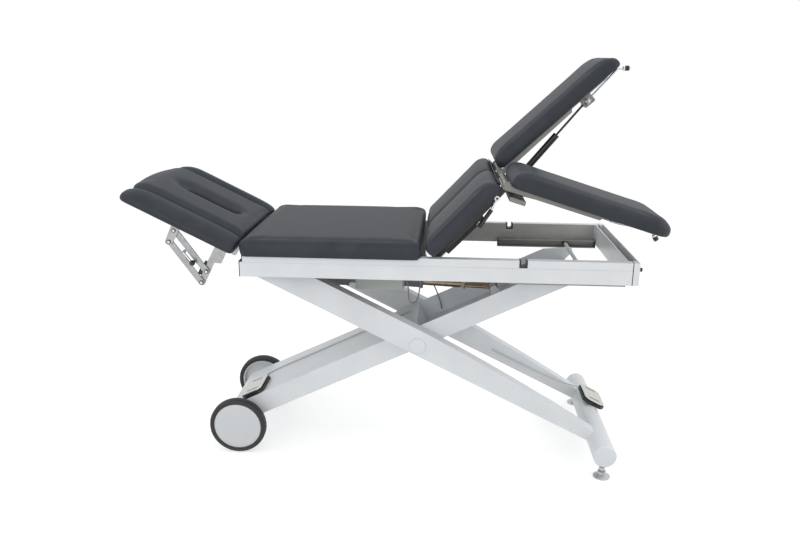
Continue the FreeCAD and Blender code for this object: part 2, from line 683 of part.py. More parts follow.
nodes["rail_near"] = rail()
nodes["rail_far"] = mirrored(nodes["rail_near"])
caps = rail_caps()
nodes["rail_caps"] = group(caps + [mirrored(piece) for piece in caps])
nodes["guide_rails"] = group([guide(), mirrored(guide())])

# Foot-end beam: open trough between the rails with end blocks behind the rail caps
trough_x = GUIDE_X1 + CAP
block_x = RAIL_END + CAP
beam_end = block_x + 20.0
trough = slab_xz([(trough_x, RAIL_TOP), (trough_x, RAIL_BASE, 3), (beam_end, RAIL_BASE, 3),
                  (beam_end, RAIL_TOP),
                  (beam_end - 4, RAIL_TOP), (beam_end - 4, RAIL_BASE + 4), (trough_x + 4, RAIL_BASE + 4),
                  (trough_x + 4, RAIL_TOP)], -RAIL_IN, RAIL_IN)
block = box(block_x, beam_end, -RAIL_OUT, -RAIL_IN, RAIL_BASE, RAIL_TOP)
nodes["foot_end_beam"] = joined([trough, block, mirrored(block)])

# Head-end frame: cross tube, hangers with the upper pivot shaft, lugs of the head hinge
tube_x0 = TOP_X - 25
tube_x1 = TOP_X + 25
tube_z0 = CROSS_BASE
tube_z1 = RAIL_TOP - 2
head_tube = slab_xz([(tube_x0, tube_z0, 3), (tube_x1, tube_z0, 3), (tube_x1, tube_z1, 3),
                     (tube_x0, tube_z1, 3)],
                    -RAIL_IN, RAIL_IN)
head_tube = head_tube.cut(box(tube_x0 + 3, tube_x1 - 3, -RAIL_IN, RAIL_IN, tube_z0 + 3, tube_z1 - 3))
hanger = slab_xz([(TOP_X - 22, TOP_Z - 22, 21), (TOP_X + 22, TOP_Z - 22, 21), (TOP_X + 22, tube_z0 + 1),
                  (TOP_X - 22, tube_z0 + 1)], -OUTER_IN + 3, -OUTER_IN + 12)
top_shaft = round_y(TOP_X, TOP_Z, TOP_R, -OUTER_OUT, OUTER_OUT)
HINGE_R = 6.0
EAR_R = HEAD_PAD_BASE - SEAT_FIT
ear_y = 100.0
ear_corner = EAR_R - 0.2
ear = slab_xz([(tube_x0 + 2, tube_z0 + 6), (tube_x0 + 2, tube_z1 - 2), (HEAD_X, HEAD_Z + EAR_R, 2),
               (HEAD_X - EAR_R, HEAD_Z + EAR_R, ear_corner), (HEAD_X - EAR_R, HEAD_Z - EAR_R, ear_corner),
               (HEAD_X, HEAD_Z - EAR_R, 2)], ear_y, ear_y + 10)
head_end = joined([head_tube, hanger, mirrored(hanger), top_shaft, ear, mirrored(ear)])
nodes["head_end_frame"] = head_end.cut(round_y(HEAD_X, HEAD_Z, HINGE_R + RUN, -RAIL_IN, RAIL_IN))

# Seat cross tube with the lugs that hold the foot of the thigh gas spring
seat_x0 = SEAT_X1 - 22
seat_x1 = SEAT_X1 + 12
seat_tube = slab_xz([(seat_x0, tube_z0, 3), (seat_x1, tube_z0, 3), (seat_x1, tube_z1, 3),
                     (seat_x0, tube_z1, 3)],
                    -RAIL_IN, RAIL_IN)
seat_tube = seat_tube.cut(box(seat_x0 + 3, seat_x1 - 3, -RAIL_IN, RAIL_IN, tube_z0 + 3, tube_z1 - 3))
lug_gap = SPRING_EYE_WIDTH / 2 + 1
seat_lugs = []
for y in (THIGH_SPRING_Y - lug_gap - 4, THIGH_SPRING_Y + lug_gap):
    seat_lugs.append(slab_xz([(seat_x0 + 4, tube_z0 + 1), (THIGH_ANCHOR_X - 9, THIGH_ANCHOR_Z - 9, 8),
                              (THIGH_ANCHOR_X + 9, THIGH_ANCHOR_Z - 9, 8), (seat_x1, tube_z0 + 1)], y, y + 4))
seat_pin = round_y(THIGH_ANCHOR_X, THIGH_ANCHOR_Z, SPRING_PIN_R, THIGH_SPRING_Y - lug_gap - 6,
                   THIGH_SPRING_Y + lug_gap + 6)
nodes["seat_cross_tube"] = joined([seat_tube, seat_pin] + seat_lugs)

nodes["seat_cushion"] = cushion(
    [(SEAT_X0, -CUSHION_HALF, 22), (SEAT_X1, -CUSHION_HALF, 22), (SEAT_X1, CUSHION_HALF, 22),
     (SEAT_X0, CUSHION_HALF, 22)],
    SEAT_BASE, SEAT_BASE + CUSHION_THICK, EDGE_R, 6.0)

# Control box under the seat on its hanger
BOX_X0 = -284.0
BOX_X1 = -109.0
BOX_Y0 = -145.0
BOX_Y1 = -45.0
BOX_HEIGHT = 70.0
BOX_DROP = 15.0
BOX_Z1 = RAIL_BASE - BOX_DROP
BOX_Z0 = BOX_Z1 - BOX_HEIGHT
case = slab_xy([(BOX_X0, BOX_Y0, 10), (BOX_X1, BOX_Y0, 10), (BOX_X1, BOX_Y1, 10), (BOX_X0, BOX_Y1, 10)],
               BOX_Z0, BOX_Z1)
hang_x = (BOX_X0 + BOX_X1) / 2
hang_y = (BOX_Y0 + BOX_Y1) / 2
stalk = box(hang_x - 30, hang_x + 30, hang_y - 20, hang_y + 20, BOX_Z1 - 1, SEAT_BASE - SEAT_FIT)
nodes["control_box"] = joined([case, stalk])


# Head section, built level around its hinge with the head towards -X
def head_part(shape):
    return placed(shape, HEAD, -HEAD_TILT)


pad_low = HEAD_PAD_BASE
pad_high = HEAD_PAD_BASE + CUSHION_THICK
plate_top = pad_low - SEAT_FIT
head_sheet = slab_xy([(-HEAD_PAD_END + 40, -ARM_PLATE_Y - ARM_PLATE, 20), (-12, -ARM_PLATE_Y - ARM_PLATE, 4),
                      (-12, ARM_PLATE_Y + ARM_PLATE, 4), (-HEAD_PAD_END + 40, ARM_PLATE_Y + ARM_PLATE, 20)],
                     plate_top - 4, plate_top)
head_rib = slab_xz([(0, -HINGE_R, 3), (0, HINGE_R - 2), (-20, plate_top - 1),
                    (-HEAD_PAD_END + 80, plate_top - 1),
                    (-HEAD_PAD_END + 80, -4, 3), (-120, -16, 4)], ear_y + 12, ear_y + 16)
hinge_bar = round_y(0, 0, HINGE_R, -ear_y - 22, ear_y + 22)
root_low_w = LINK_ROOT_W - LINK_SPACING
arm_plate = slab_xz([(-80, plate_top - 1), (-37, plate_top - 1), (-37, -74, 4), (LINK_ROOT_U + 12, -84, 4),
                     (LINK_ROOT_U + 12, root_low_w - 12, 11), (LINK_ROOT_U - 12, root_low_w - 12, 11),
                     (LINK_ROOT_U - 12, -84, 4)],
                    -ARM_PLATE_Y - ARM_PLATE, -ARM_PLATE_Y)
pins = []
for w in (LINK_ROOT_W, root_low_w):
    pins.append(round_y(LINK_ROOT_U, w, LINK_PIN_R, -ARM_PLATE_Y - ARM_STEP - ARM_PLATE - 1,
                        -ARM_PLATE_Y - 1))
side_parts = [head_rib, arm_plate] + pins
head_solid = joined([head_sheet, hinge_bar] + side_parts + [mirrored(piece) for piece in side_parts])
nodes["head_frame"] = head_part(head_solid)

head_pad = cushion([(-HEAD_PAD_END, -HEAD_CENTRE_HALF, 40), (-HEAD_PAD_START, -HEAD_CENTRE_HALF, 10),
                    (-HEAD_PAD_START, HEAD_CENTRE_HALF, 10), (-HEAD_PAD_END, HEAD_CENTRE_HALF, 40)],
                   pad_low, pad_high, EDGE_R, 6.0)
slot_r = SLOT_WIDTH / 2 - 0.2
slot = slab_xy([(-SLOT_FAR, -SLOT_WIDTH / 2, slot_r), (-SLOT_NEAR, -SLOT_WIDTH / 2, slot_r),
                (-SLOT_NEAR, SLOT_WIDTH / 2, slot_r), (-SLOT_FAR, SLOT_WIDTH / 2, slot_r)],
               pad_high - SLOT_DEPTH, pad_high + 1)
nodes["head_cushion"] = head_part(head_pad.cut(slot))

arm_pad = cushion([(-HEAD_PAD_END, -CUSHION_HALF, 30), (-HEAD_PAD_START, -CUSHION_HALF, 20),
                   (-HEAD_PAD_START, -ARMREST_IN, 10), (-HEAD_PAD_END, -ARMREST_IN, 16)],
                  pad_low, pad_high, EDGE_R, 6.0)

tip_u = LINK_ROOT_U + LINK_DU
tip_w = LINK_ROOT_W + LINK_DW
tip_low_w = tip_w - LINK_SPACING
link_y0 = -ARM_PLATE_Y - ARM_STEP - ARM_PLATE
link_y1 = -ARM_PLATE_Y - ARM_STEP
rest_y0 = link_y0 - ARM_STEP
rest_y1 = link_y1 - ARM_STEP


def arm_link(w0, w1, tab):
    bar = stadium((LINK_ROOT_U, w0), (tip_u, w1), LINK_WIDTH, link_y0, link_y1)
    parts = [bar]
    if tab:
        parts.append(stadium((LEVER_U, LEVER_W), (LEVER_U - 4, LEVER_W - 24), LEVER_TAB, link_y0, link_y1))
    bar = joined(parts) if tab else bar
    bar = bar.cut(round_y(LINK_ROOT_U, w0, LINK_PIN_R + RUN, link_y0, link_y1))
    bar = bar.cut(round_y(tip_u, w1, LINK_PIN_R + RUN, link_y0, link_y1))
    if tab:
        bar = bar.cut(round_y(LEVER_U, LEVER_W, 4 + RUN, link_y0, link_y1))
    return bar


LEVER_U = -171.0
LEVER_W = -91.5
LEVER_TAB = 12.0
KNOB_U = -127.3
KNOB_W = -112.8
upper_link = arm_link(LINK_ROOT_W, tip_w, False)
lower_link = arm_link(root_low_w, tip_low_w, True)

rest_plate = slab_xz([(tip_u - 16, plate_top), (tip_u + 18, plate_top), (tip_u + 13, tip_low_w - 12, 11),
                      (tip_u - 13, tip_low_w - 12, 11)], rest_y0, rest_y1)
rest_flange = slab_xy([(tip_u - 70, -CUSHION_HALF + 18, 12), (tip_u + 70, -CUSHION_HALF + 18, 12),
                       (tip_u + 70, rest_y1),
                       (tip_u - 70, rest_y1)], plate_top - 4, plate_top)
rest_pins = []
for w in (tip_w, tip_low_w):
    rest_pins.append(round_y(tip_u, w, LINK_PIN_R, rest_y0, link_y1 + 1))
rest_bracket = joined([rest_plate, rest_flange] + rest_pins)

lever_y = link_y0 - 12
lever_rod = bent_rod([(LEVER_U, link_y1 + 1, LEVER_W), (LEVER_U, lever_y, LEVER_W),
                      (KNOB_U, lever_y, KNOB_W)], 3.9, 7.0)
lock_lever = joined([lever_rod, ball(KNOB_U, lever_y, KNOB_W, 9.5)])

for side_name, turn_over in (("near", False), ("far", True)):
    for label, shape in (("arm_upper_link", upper_link), ("arm_lower_link", lower_link),
                         ("armrest_bracket", rest_bracket),
                         ("armrest_cushion", arm_pad), ("lock_lever", lock_lever)):
        piece = head_part(shape)
        nodes[label + "_" + side_name] = mirrored(piece) if turn_over else piece


# Thigh section, built level around its hinge
def thigh_part(shape):
    return placed(shape, THIGH, THIGH_TILT)


thigh_top = THIGH_PAD_BASE - SEAT_FIT
bar_y0 = -SIDE_LIMIT + 14
bar_y1 = bar_y0 + 24
thigh_sheet = slab_xy([(14, bar_y0, 4), (THIGH_PAD_END - 6, bar_y0, 4), (THIGH_PAD_END - 6, -bar_y0, 4),
                       (14, -bar_y0, 4)],
                      thigh_top - 4, thigh_top)
thigh_bar = slab_xz([(-10, -10, 9), (60, -10, 4), (KNEE_U - 50, -9, 4), (KNEE_U + 13, KNEE_W - 13, 12),
                     (KNEE_U + 13, KNEE_W + 6, 5),
                     (KNEE_U - 20, thigh_top - 1), (20, thigh_top - 1), (-10, 9, 8)], bar_y0, bar_y1)
thigh_hole = round_y(KNEE_U, KNEE_W, KNEE_R + RUN, -RAIL_OUT, RAIL_OUT)
trunnion = round_y(0, 0, 7.0, -RAIL_IN - RAIL_WALL + 0.4, bar_y0 + 4)
eye_plates = []
for y in (THIGH_SPRING_Y - lug_gap - 4, THIGH_SPRING_Y + lug_gap):
    eye_plates.append(slab_xz([(THIGH_EYE_U - 30, thigh_top - 1), (THIGH_EYE_U - 9, THIGH_EYE_W - 9, 8),
                               (THIGH_EYE_U + 9, THIGH_EYE_W - 9, 8), (THIGH_EYE_U + 30, thigh_top - 1)], y,
                               y + 4))
thigh_pin = round_y(THIGH_EYE_U, THIGH_EYE_W, SPRING_PIN_R, THIGH_SPRING_Y - lug_gap - 6,
                    THIGH_SPRING_Y + lug_gap + 6)
THIGH_LEVER_U = 294.0
THIGH_LEVER_W = -2.0
lever_pin = round_y(THIGH_LEVER_U, THIGH_LEVER_W, 4.0, bar_y0 - 9, bar_y0 + 4)
thigh_solid = joined([thigh_sheet, thigh_bar, mirrored(thigh_bar), trunnion, mirrored(trunnion), thigh_pin,
                      lever_pin]
                     + eye_plates)
nodes["thigh_frame"] = thigh_part(thigh_solid.cut(thigh_hole))

nodes["thigh_cushion"] = thigh_part(cushion(
    [(THIGH_PAD_START, -CUSHION_HALF, 23), (THIGH_PAD_END, -CUSHION_HALF, 23),
     (THIGH_PAD_END, CUSHION_HALF, 23),
     (THIGH_PAD_START, CUSHION_HALF, 23)], THIGH_PAD_BASE, THIGH_PAD_BASE + CUSHION_THICK, KNEE_EDGE_R, 6.0))

GRIP_R = 6.5
grip_y = bar_y0 - GRIP_R - 0.6
lever_eye = round_y(THIGH_LEVER_U, THIGH_LEVER_W, 9.0, bar_y0 - 9, bar_y0 - 0.5)
lever_arm = bent_rod([(THIGH_LEVER_U, bar_y0 - 4.8, THIGH_LEVER_W), (252, bar_y0 - 6, -16),
                      (236, grip_y, -19)], 4.0, 12.0)
grip = Part.makeCylinder(GRIP_R, 70, Vector(254, grip_y, -15.6), Vector(184 - 254, 0, -28 + 15.6))
thigh_lever = joined([lever_eye, lever_arm, grip]).cut(round_y(THIGH_LEVER_U, THIGH_LEVER_W, 4 + RUN,
    -RAIL_OUT, 0))
nodes["thigh_lever"] = thigh_part(thigh_lever)


# Gas springs, built along +X from the eye of the tube
def spring_tube(radius, end, rod_radius):
    eye = round_y(0, 0, SPRING_EYE_R, -SPRING_EYE_WIDTH / 2, SPRING_EYE_WIDTH / 2)
    shank = Part.makeCylinder(SPRING_NECK_R, SPRING_NECK, Vector(5, 0, 0), Vector(1, 0, 0))
    barrel = Part.makeCylinder(radius, end - SPRING_NECK, Vector(SPRING_NECK, 0, 0), Vector(1, 0, 0))
    body = joined([eye, shank, barrel]).cut(round_y(0, 0, SPRING_PIN_R + RUN, -20, 20))
    return body.cut(Part.makeCylinder(rod_radius + RUN, end, Vector(SPRING_NECK + 10, 0, 0), Vector(1, 0, 0)))


def spring_rod(length, start, rod_radius):
    eye = round_y(length, 0, SPRING_EYE_R, -SPRING_EYE_WIDTH / 2, SPRING_EYE_WIDTH / 2)
    stem = Part.makeCylinder(rod_radius, length - 6 - start, Vector(start, 0, 0), Vector(1, 0, 0))
    ferrule = Part.makeCylinder(SPRING_NECK_R, 16, Vector(length - 22, 0, 0), Vector(1, 0, 0))
    return joined([eye, stem, ferrule])


def pin_hole(length):
    return round_y(length, 0, SPRING_PIN_R + PIN_PLAY, -SPRING_EYE_WIDTH, SPRING_EYE_WIDTH)


def cross_pin(length):
    reach = SPRING_EYE_WIDTH / 2 + 6
    return round_y(length, 0, SPRING_PIN_R, -reach, reach)


def aimed(start, end):
    length = math.hypot(end[0] - start[0], end[1] - start[1])
    return length, math.degrees(math.atan2(end[1] - start[1], end[0] - start[0]))


def shifted(shape, y):
    result = shape.copy()
    result.translate(Vector(0, y, 0))
    return result


thigh_eye = at(THIGH, THIGH_TILT, THIGH_EYE_U, THIGH_EYE_W)
thigh_anchor = (THIGH_ANCHOR_X, THIGH_ANCHOR_Z)
length, tilt = aimed(thigh_eye, thigh_anchor)
thigh_tube = spring_tube(THIGH_TUBE_R, THIGH_TUBE_END, THIGH_ROD_R)
thigh_rod = spring_rod(length, length - 190, THIGH_ROD_R).cut(pin_hole(length))
nodes["thigh_spring_tube"] = shifted(placed(thigh_tube, thigh_eye, tilt), THIGH_SPRING_Y)
nodes["thigh_spring_rod"] = shifted(placed(thigh_rod, thigh_eye, tilt), THIGH_SPRING_Y)

leg_anchor = at(KNEE, LEG_TILT_NEAR, LEG_ANCHOR_U, LEG_ANCHOR_W)
for side_name, tilt_leg, y in (("near", LEG_TILT_NEAR, -LEG_SPRING_Y), ("far", LEG_TILT_FAR, LEG_SPRING_Y)):
    eye = at(KNEE, tilt_leg, LEG_EYE_U, LEG_EYE_W)
    length, tilt = aimed(leg_anchor, eye)
    tube = placed(spring_tube(LEG_TUBE_R, LEG_TUBE_END, LEG_ROD_R), leg_anchor, tilt)
    stem = joined([spring_rod(length, length - 270, LEG_ROD_R), cross_pin(length)])
    stem = placed(stem, leg_anchor, tilt)
    nodes["leg_spring_tube_" + side_name] = shifted(tube, y)
    nodes["leg_spring_rod_" + side_name] = shifted(stem, y)

# Leg carrier: knee tube, cross bar and the lugs of both leg springs
knee_tube = round_y(0, 0, KNEE_R, -SIDE_LIMIT, SIDE_LIMIT)
BAR_MID_U = 53.0
BAR_MID_W = -36.0
cross_bar = slab_xz([(BAR_MID_U - 28, BAR_MID_W - 7.5, 3), (BAR_MID_U + 28, BAR_MID_W - 7.5, 3),
                     (BAR_MID_U + 28, BAR_MID_W + 7.5, 3), (BAR_MID_U - 28, BAR_MID_W + 7.5, 3)], -SIDE_LIMIT,
                     SIDE_LIMIT)
carrier_parts = [knee_tube]
for y in (-180.0, 172.0):
    carrier_parts.append(slab_xz([(-12, 0, 9), (-4, 12, 8), (8, 10, 4), (60, BAR_MID_W, 4),
                                  (BAR_MID_U - 18, BAR_MID_W - 4, 4)],
                                 y, y + 8))
room = SPRING_EYE_WIDTH / 2 + 1
spring_room = []
for y in (-LEG_SPRING_Y, LEG_SPRING_Y):
    spring_room.append(box(LEG_ANCHOR_U - 15, LEG_ANCHOR_U + 60, y - room, y + room, LEG_ANCHOR_W - 40,
                           LEG_ANCHOR_W + 40))
bar_solid = cross_bar
for piece in spring_room:
    bar_solid = bar_solid.cut(piece)
for y in (-LEG_SPRING_Y, LEG_SPRING_Y):
    carrier_parts.append(round_y(LEG_ANCHOR_U, LEG_ANCHOR_W, SPRING_PIN_R, y - room - 6, y + room + 6))
nodes["leg_carrier"] = placed(joined([bar_solid] + carrier_parts), KNEE, LEG_TILT_NEAR)

# Leg sections, built level around the knee for the near side
leg_top = LEG_PAD_BASE - SEAT_FIT
leg_sheet = slab_xy([(26, -SIDE_LIMIT, 4), (LEG_PAD_END - 60, -SIDE_LIMIT, 40), (LEG_PAD_END - 60, -22, 20),
                     (26, -22, 4)],
                    leg_top - 3, leg_top)
boss = KNEE_R + 4.0
knee_end = [(boss + 0.5, leg_top - 1), (boss * 0.46, boss, 6), (-boss, boss, boss - 1),
            (-boss, -boss, boss - 1)]
leg_beam = slab_xz(knee_end + [(40, -12, 4), (330, -10, 6), (340, leg_top - 1)], -SIDE_LIMIT,
                   -SIDE_LIMIT + 12)
leg_inner = slab_xz(knee_end + [(40, -12, 4), (330, -6, 4), (340, leg_top - 1)], -28, -20)
LEVER_PIVOT_U = 412.0
LEVER_PIVOT_W = -24.0
eye_hole_r = SPRING_PIN_R + LEG_PIN_PLAY
eye_brackets = []
for y in (-LEG_SPRING_Y - room - 3, -LEG_SPRING_Y + room):
    eye_brackets.append(slab_xz([(LEG_EYE_U - eye_hole_r - 6, leg_top - 1),
                                 (LEG_EYE_U - eye_hole_r - 6, LEG_EYE_W - eye_hole_r - 5, 5),
                                 (LEVER_PIVOT_U + 9, LEVER_PIVOT_W - 8, 6), (LEVER_PIVOT_U + 9, leg_top - 1)],
                                 y, y + 3))
eye_hole = round_y(LEG_EYE_U, LEG_EYE_W, eye_hole_r, -LEG_SPRING_Y - 20, -LEG_SPRING_Y + 20)
leg_frame = joined([leg_sheet, leg_beam, leg_inner] + eye_brackets).cut(eye_hole)
leg_frame = leg_frame.cut(round_y(0, 0, KNEE_R + RUN, -RAIL_OUT, 0))
leg_frame = leg_frame.cut(round_y(LEVER_PIVOT_U, LEVER_PIVOT_W, 4 + RUN, -LEG_SPRING_Y - 20,
                                  -LEG_SPRING_Y + 20))

leg_pad = cushion([(LEG_PAD_START, -CUSHION_HALF, 23), (LEG_PAD_END, -CUSHION_HALF, 60),
                   (LEG_PAD_END, -LEG_GAP, 24),
                   (LEG_PAD_START, -LEG_GAP, 23)], LEG_PAD_BASE, LEG_PAD_BASE + CUSHION_THICK, KNEE_EDGE_R,
                   6.0)

LEVER_Y = -110.0
leg_rod = bent_rod([(LEVER_PIVOT_U, -LEG_SPRING_Y - room, LEVER_PIVOT_W),
                    (LEVER_PIVOT_U, LEVER_Y, LEVER_PIVOT_W),
                    (556, LEVER_Y, -10), (574, LEVER_Y, -26)], 4.0, 10.0)
leg_knob = Part.makeCylinder(8.5, 24, Vector(570, LEVER_Y, -21), Vector(18, 0, -16))
leg_lever = joined([leg_rod, leg_knob])

for label, shape in (("leg_frame", leg_frame), ("leg_cushion", leg_pad), ("leg_lever", leg_lever)):
    nodes[label + "_near"] = placed(shape, KNEE, LEG_TILT_NEAR)
    nodes[label + "_far"] = placed(mirrored(shape), KNEE, LEG_TILT_FAR)

# Thin leads: along the cover to the head switch, along the far arm to the foot switch, and under the seat
lead_w = INNER_ABOVE + LEAD_R + SEAT_FIT
lead_y = HEAD_TREADLE_Y + TREADLE_WIDTH / 2 + 3.0
inner_lead = bent_rod([(HEAD_TREADLE_U, lead_y, lead_w), (HEAD_TREADLE_U, lead_y + 45, lead_w),
                       (HEAD_TREADLE_U + 110, lead_y + 65, lead_w),
                       (INNER_COVER_END - 30, lead_y + 65, lead_w)], LEAD_R, 25.0)
nodes["inner_lead"] = placed(inner_lead, CENTRE, INNER_SLOPE)
arm_lead_y = OUTER_IN - LEAD_R - SEAT_FIT
base_u = FOOT_TREADLE_U - TREADLE_LENGTH / 2 - 3.0
outer_lead = bent_rod([(base_u, FOOT_TREADLE_Y + 45, foot_treadle_w + 6),
                       (base_u - 40, FOOT_TREADLE_Y + 45, foot_treadle_w),
                       (base_u - 90, arm_lead_y, 0), (330, arm_lead_y, 0)], LEAD_R, 25.0)
nodes["outer_lead"] = placed(outer_lead, CENTRE, -OUTER_SLOPE)
drop_z = tube_z0
box_lead = bent_rod([(BOX_X1, -95, BOX_Z0 + 22), (BOX_X1 + 30, -95, BOX_Z0 + 22),
                     (BOX_X1 + 46, -72, BOX_Z0 - 24),
                     (seat_x0 + 14, -60, BOX_Z0 + 56), (seat_x0 + 18, -60, drop_z)], LEAD_R, 14.0)
clip_x, clip_z = at(CENTRE, INNER_SLOPE, 88.0, -11.0)
drop_lead = bent_rod([(seat_x0 + 22, 60, drop_z), (seat_x0 + 44, 60, drop_z - 120),
                      (clip_x - 4, inner_in - 22, clip_z + 40),
                      (clip_x, inner_in - LEAD_R - 1, clip_z)], LEAD_R, 30.0)
nodes["control_leads"] = group([box_lead, drop_lead])

for name, shape in nodes.items():
    shape.translate(Vector(FRAME_X, 0, 0))

os.makedirs("parts", exist_ok=True)
for name, shape in nodes.items():
    shape.exportStep("parts/" + name + ".step")
    if not shape.isValid() or shape.Volume <= 0:
        print("check", name, shape.isValid(), round(shape.Volume))
print(len(nodes), "nodes")
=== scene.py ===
# %% [markdown]
# # Electric treatment table
# This scene dresses a padded couch on a white scissor lift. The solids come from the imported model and
# stay where they are. Here they get their finishes, and the soft and small pieces are built over them.
# Everything is in metres: X runs from the head end to the foot end, Y away from the viewer, Z up.

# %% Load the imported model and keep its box
import json
import math
import bpy
import bmesh
from mathutils import Matrix, Vector


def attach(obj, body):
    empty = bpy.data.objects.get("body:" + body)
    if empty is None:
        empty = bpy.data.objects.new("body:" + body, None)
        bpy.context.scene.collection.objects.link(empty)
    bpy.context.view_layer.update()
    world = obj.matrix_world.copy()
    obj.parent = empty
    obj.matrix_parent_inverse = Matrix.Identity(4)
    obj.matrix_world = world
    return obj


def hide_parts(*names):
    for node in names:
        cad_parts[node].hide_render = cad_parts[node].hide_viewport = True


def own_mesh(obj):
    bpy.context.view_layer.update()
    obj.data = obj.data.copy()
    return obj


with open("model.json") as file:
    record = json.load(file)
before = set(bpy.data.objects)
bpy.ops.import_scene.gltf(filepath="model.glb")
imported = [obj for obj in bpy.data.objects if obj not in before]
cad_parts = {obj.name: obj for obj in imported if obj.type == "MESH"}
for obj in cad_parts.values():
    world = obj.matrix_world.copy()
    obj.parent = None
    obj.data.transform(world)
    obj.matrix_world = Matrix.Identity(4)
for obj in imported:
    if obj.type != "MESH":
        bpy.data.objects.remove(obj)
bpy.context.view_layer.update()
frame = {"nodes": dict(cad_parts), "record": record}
solids = frame["nodes"]
scene = bpy.context.scene
scene.view_settings.view_transform = "Standard"

# %% [markdown]
# ## Camera
# The photograph was taken from a little above the couch, almost square to its near rail. A camera can be
# aimed by hand, but a place, three angles and a focal length fitted to the rails and the wheels repeat
# exactly. The lens follows from the focal length in pixels and a sensor 36 mm wide.

# %% Camera
STATION = Vector((0.164, -2.7286, 1.4443))
YAW = 0.0584
PITCH = 0.2723
ROLL = 0.0078
FOCAL_PIXELS = 748.6
PICTURE_WIDTH = 800
SENSOR_WIDTH = 36.0

ahead = Vector((-math.sin(YAW) * math.cos(PITCH), math.cos(YAW) * math.cos(PITCH), -math.sin(PITCH)))
level = Vector((math.cos(YAW), math.sin(YAW), 0.0))
above = level.cross(ahead)
across = math.cos(ROLL) * level + math.sin(ROLL) * above
upright = -math.sin(ROLL) * level + math.cos(ROLL) * above
aim = Matrix((across, upright, -ahead)).transposed().to_4x4()
camera_data = bpy.data.cameras.new("camera")
camera_data.sensor_width = SENSOR_WIDTH
camera_data.lens = FOCAL_PIXELS / PICTURE_WIDTH * SENSOR_WIDTH
camera = bpy.data.objects.new("camera", camera_data)
camera.matrix_world = Matrix.Translation(STATION) @ aim
scene.collection.objects.link(camera)
scene.camera = camera
print("lens", round(camera_data.lens, 2), "mm")

# %% [markdown]
# ## Frames of the moving parts
# The couch's sections and the scissor's arms slope, and small parts are easiest to place in a frame that
# slopes with them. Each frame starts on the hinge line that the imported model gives.

# %% Frames of the moving parts
SHIFT = 0.134
INNER_SLOPE = 25.7
OUTER_SLOPE = -26.4
HEAD_SLOPE = -26.2
THIGH_SLOPE = 46.9
NEAR_LEG_SLOPE = -17.4
FAR_LEG_SLOPE = 43.0
hinge_at = {j["name"]: j.get("pos_m") for j in frame["record"]["behaviour"]["joints"]}


def section(pivot, degrees):
    """Frame of a sloping part: its origin on the pivot line, u along it, y across and w out of its top."""
    slope = Matrix.Rotation(-math.radians(degrees), 4, "Y")
    return Matrix.Translation(Vector((pivot[0], 0.0, pivot[2]))) @ slope


inner_arm = section(hinge_at["scissor"], INNER_SLOPE)
outer_arm = section(hinge_at["scissor"], OUTER_SLOPE)
head_part = section(hinge_at["head_tilt"], HEAD_SLOPE)
thigh_part = section(hinge_at["thigh_tilt"], THIGH_SLOPE)
near_leg_part = section(hinge_at["leg_near"], NEAR_LEG_SLOPE)
far_leg_part = section(hinge_at["leg_far"], FAR_LEG_SLOPE)
table_part = Matrix.Translation(Vector((SHIFT, 0.0, 0.0)))
print("knee at", [round(v, 3) for v in near_leg_part.translation])

# %% [markdown]
# ## Leads
# Thin grey PVC leads join the control box and the two foot switches. Two of them hang free below the seat:
# one loops from the box up to the cross tube, the other drops to the scissor. The other two are clipped to
# the frames. A NURBS curve with a round bevel gives each one its smooth hang, and becomes a mesh.

# %% Leads as smooth curves
LEAD_RADIUS = 0.0025


def lead_line(name, points, place, bevel):
    """A NURBS line through a lead's route, given in the frame of the part that carries it."""
    data = bpy.data.curves.new(name, "CURVE")
    data.dimensions = "3D"
    data.bevel_depth = bevel
    data.bevel_resolution = 3
    data.use_fill_caps = True
    line = data.splines.new("NURBS")
    line.points.add(len(points) - 1)
    for knot, spot in zip(line.points, points):
        knot.co = (*(place @ Vector(spot)), 1.0)
    line.order_u = 3
    line.use_endpoint_u = True
    line.resolution_u = 12
    piece = bpy.data.objects.new(name, data)
    scene.collection.objects.link(piece)
    return piece


def read_line(name, points, place):
    """The points of that line, read from a curve with no bevel, and the line's length."""
    bare = lead_line(name + "_line", points, place, 0.0)
    bpy.context.view_layer.update()
    mesh = bpy.data.meshes.new_from_object(bare.evaluated_get(bpy.context.evaluated_depsgraph_get()))
    path = [v.co.copy() for v in mesh.vertices]
    bpy.data.objects.remove(bare)
    bpy.data.meshes.remove(mesh)
    return path, sum((b - a).length for a, b in zip(path, path[1:]))


def lead_tube(name, points, place):
    """The round lead along that line, as a smooth mesh."""
    curve = lead_line(name + "_curve", points, place, LEAD_RADIUS)
    bpy.context.view_layer.update()
    mesh = bpy.data.meshes.new_from_object(curve.evaluated_get(bpy.context.evaluated_depsgraph_get()))
    bpy.data.objects.remove(curve)
    piece = bpy.data.objects.new(name, mesh)
    scene.collection.objects.link(piece)
    for face in mesh.polygons:
        face.use_smooth = True
    return piece


def hanging_lead(name, points):
    """A free lead under the seat, carried by the table."""
    piece = lead_tube(name, points, table_part)
    path, length = read_line(name, points, table_part)
    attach(piece, "table")
    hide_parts("control_leads")
    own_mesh(piece)
    print(name, round(length, 3), "m")
    return piece


box_lead = hanging_lead("box_lead", [(-0.109, -0.095, 0.656), (-0.093, -0.095, 0.656),
                                     (-0.092, -0.088, 0.562), (-0.054, -0.072, 0.567),
                                     (-0.048, -0.060, 0.690), (-0.046, -0.060, 0.757)])
drop_lead = hanging_lead("drop_lead", [(-0.042, 0.060, 0.757), (-0.020, 0.060, 0.637), (0.028, 0.124, 0.510),
                                       (0.032, 0.1425, 0.470)])


def clipped_lead(name, points, place, body, node):
    """A lead that clips hold along a frame."""
    piece = lead_tube(name, points, place)
    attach(piece, body)
    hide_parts(node)
    return piece


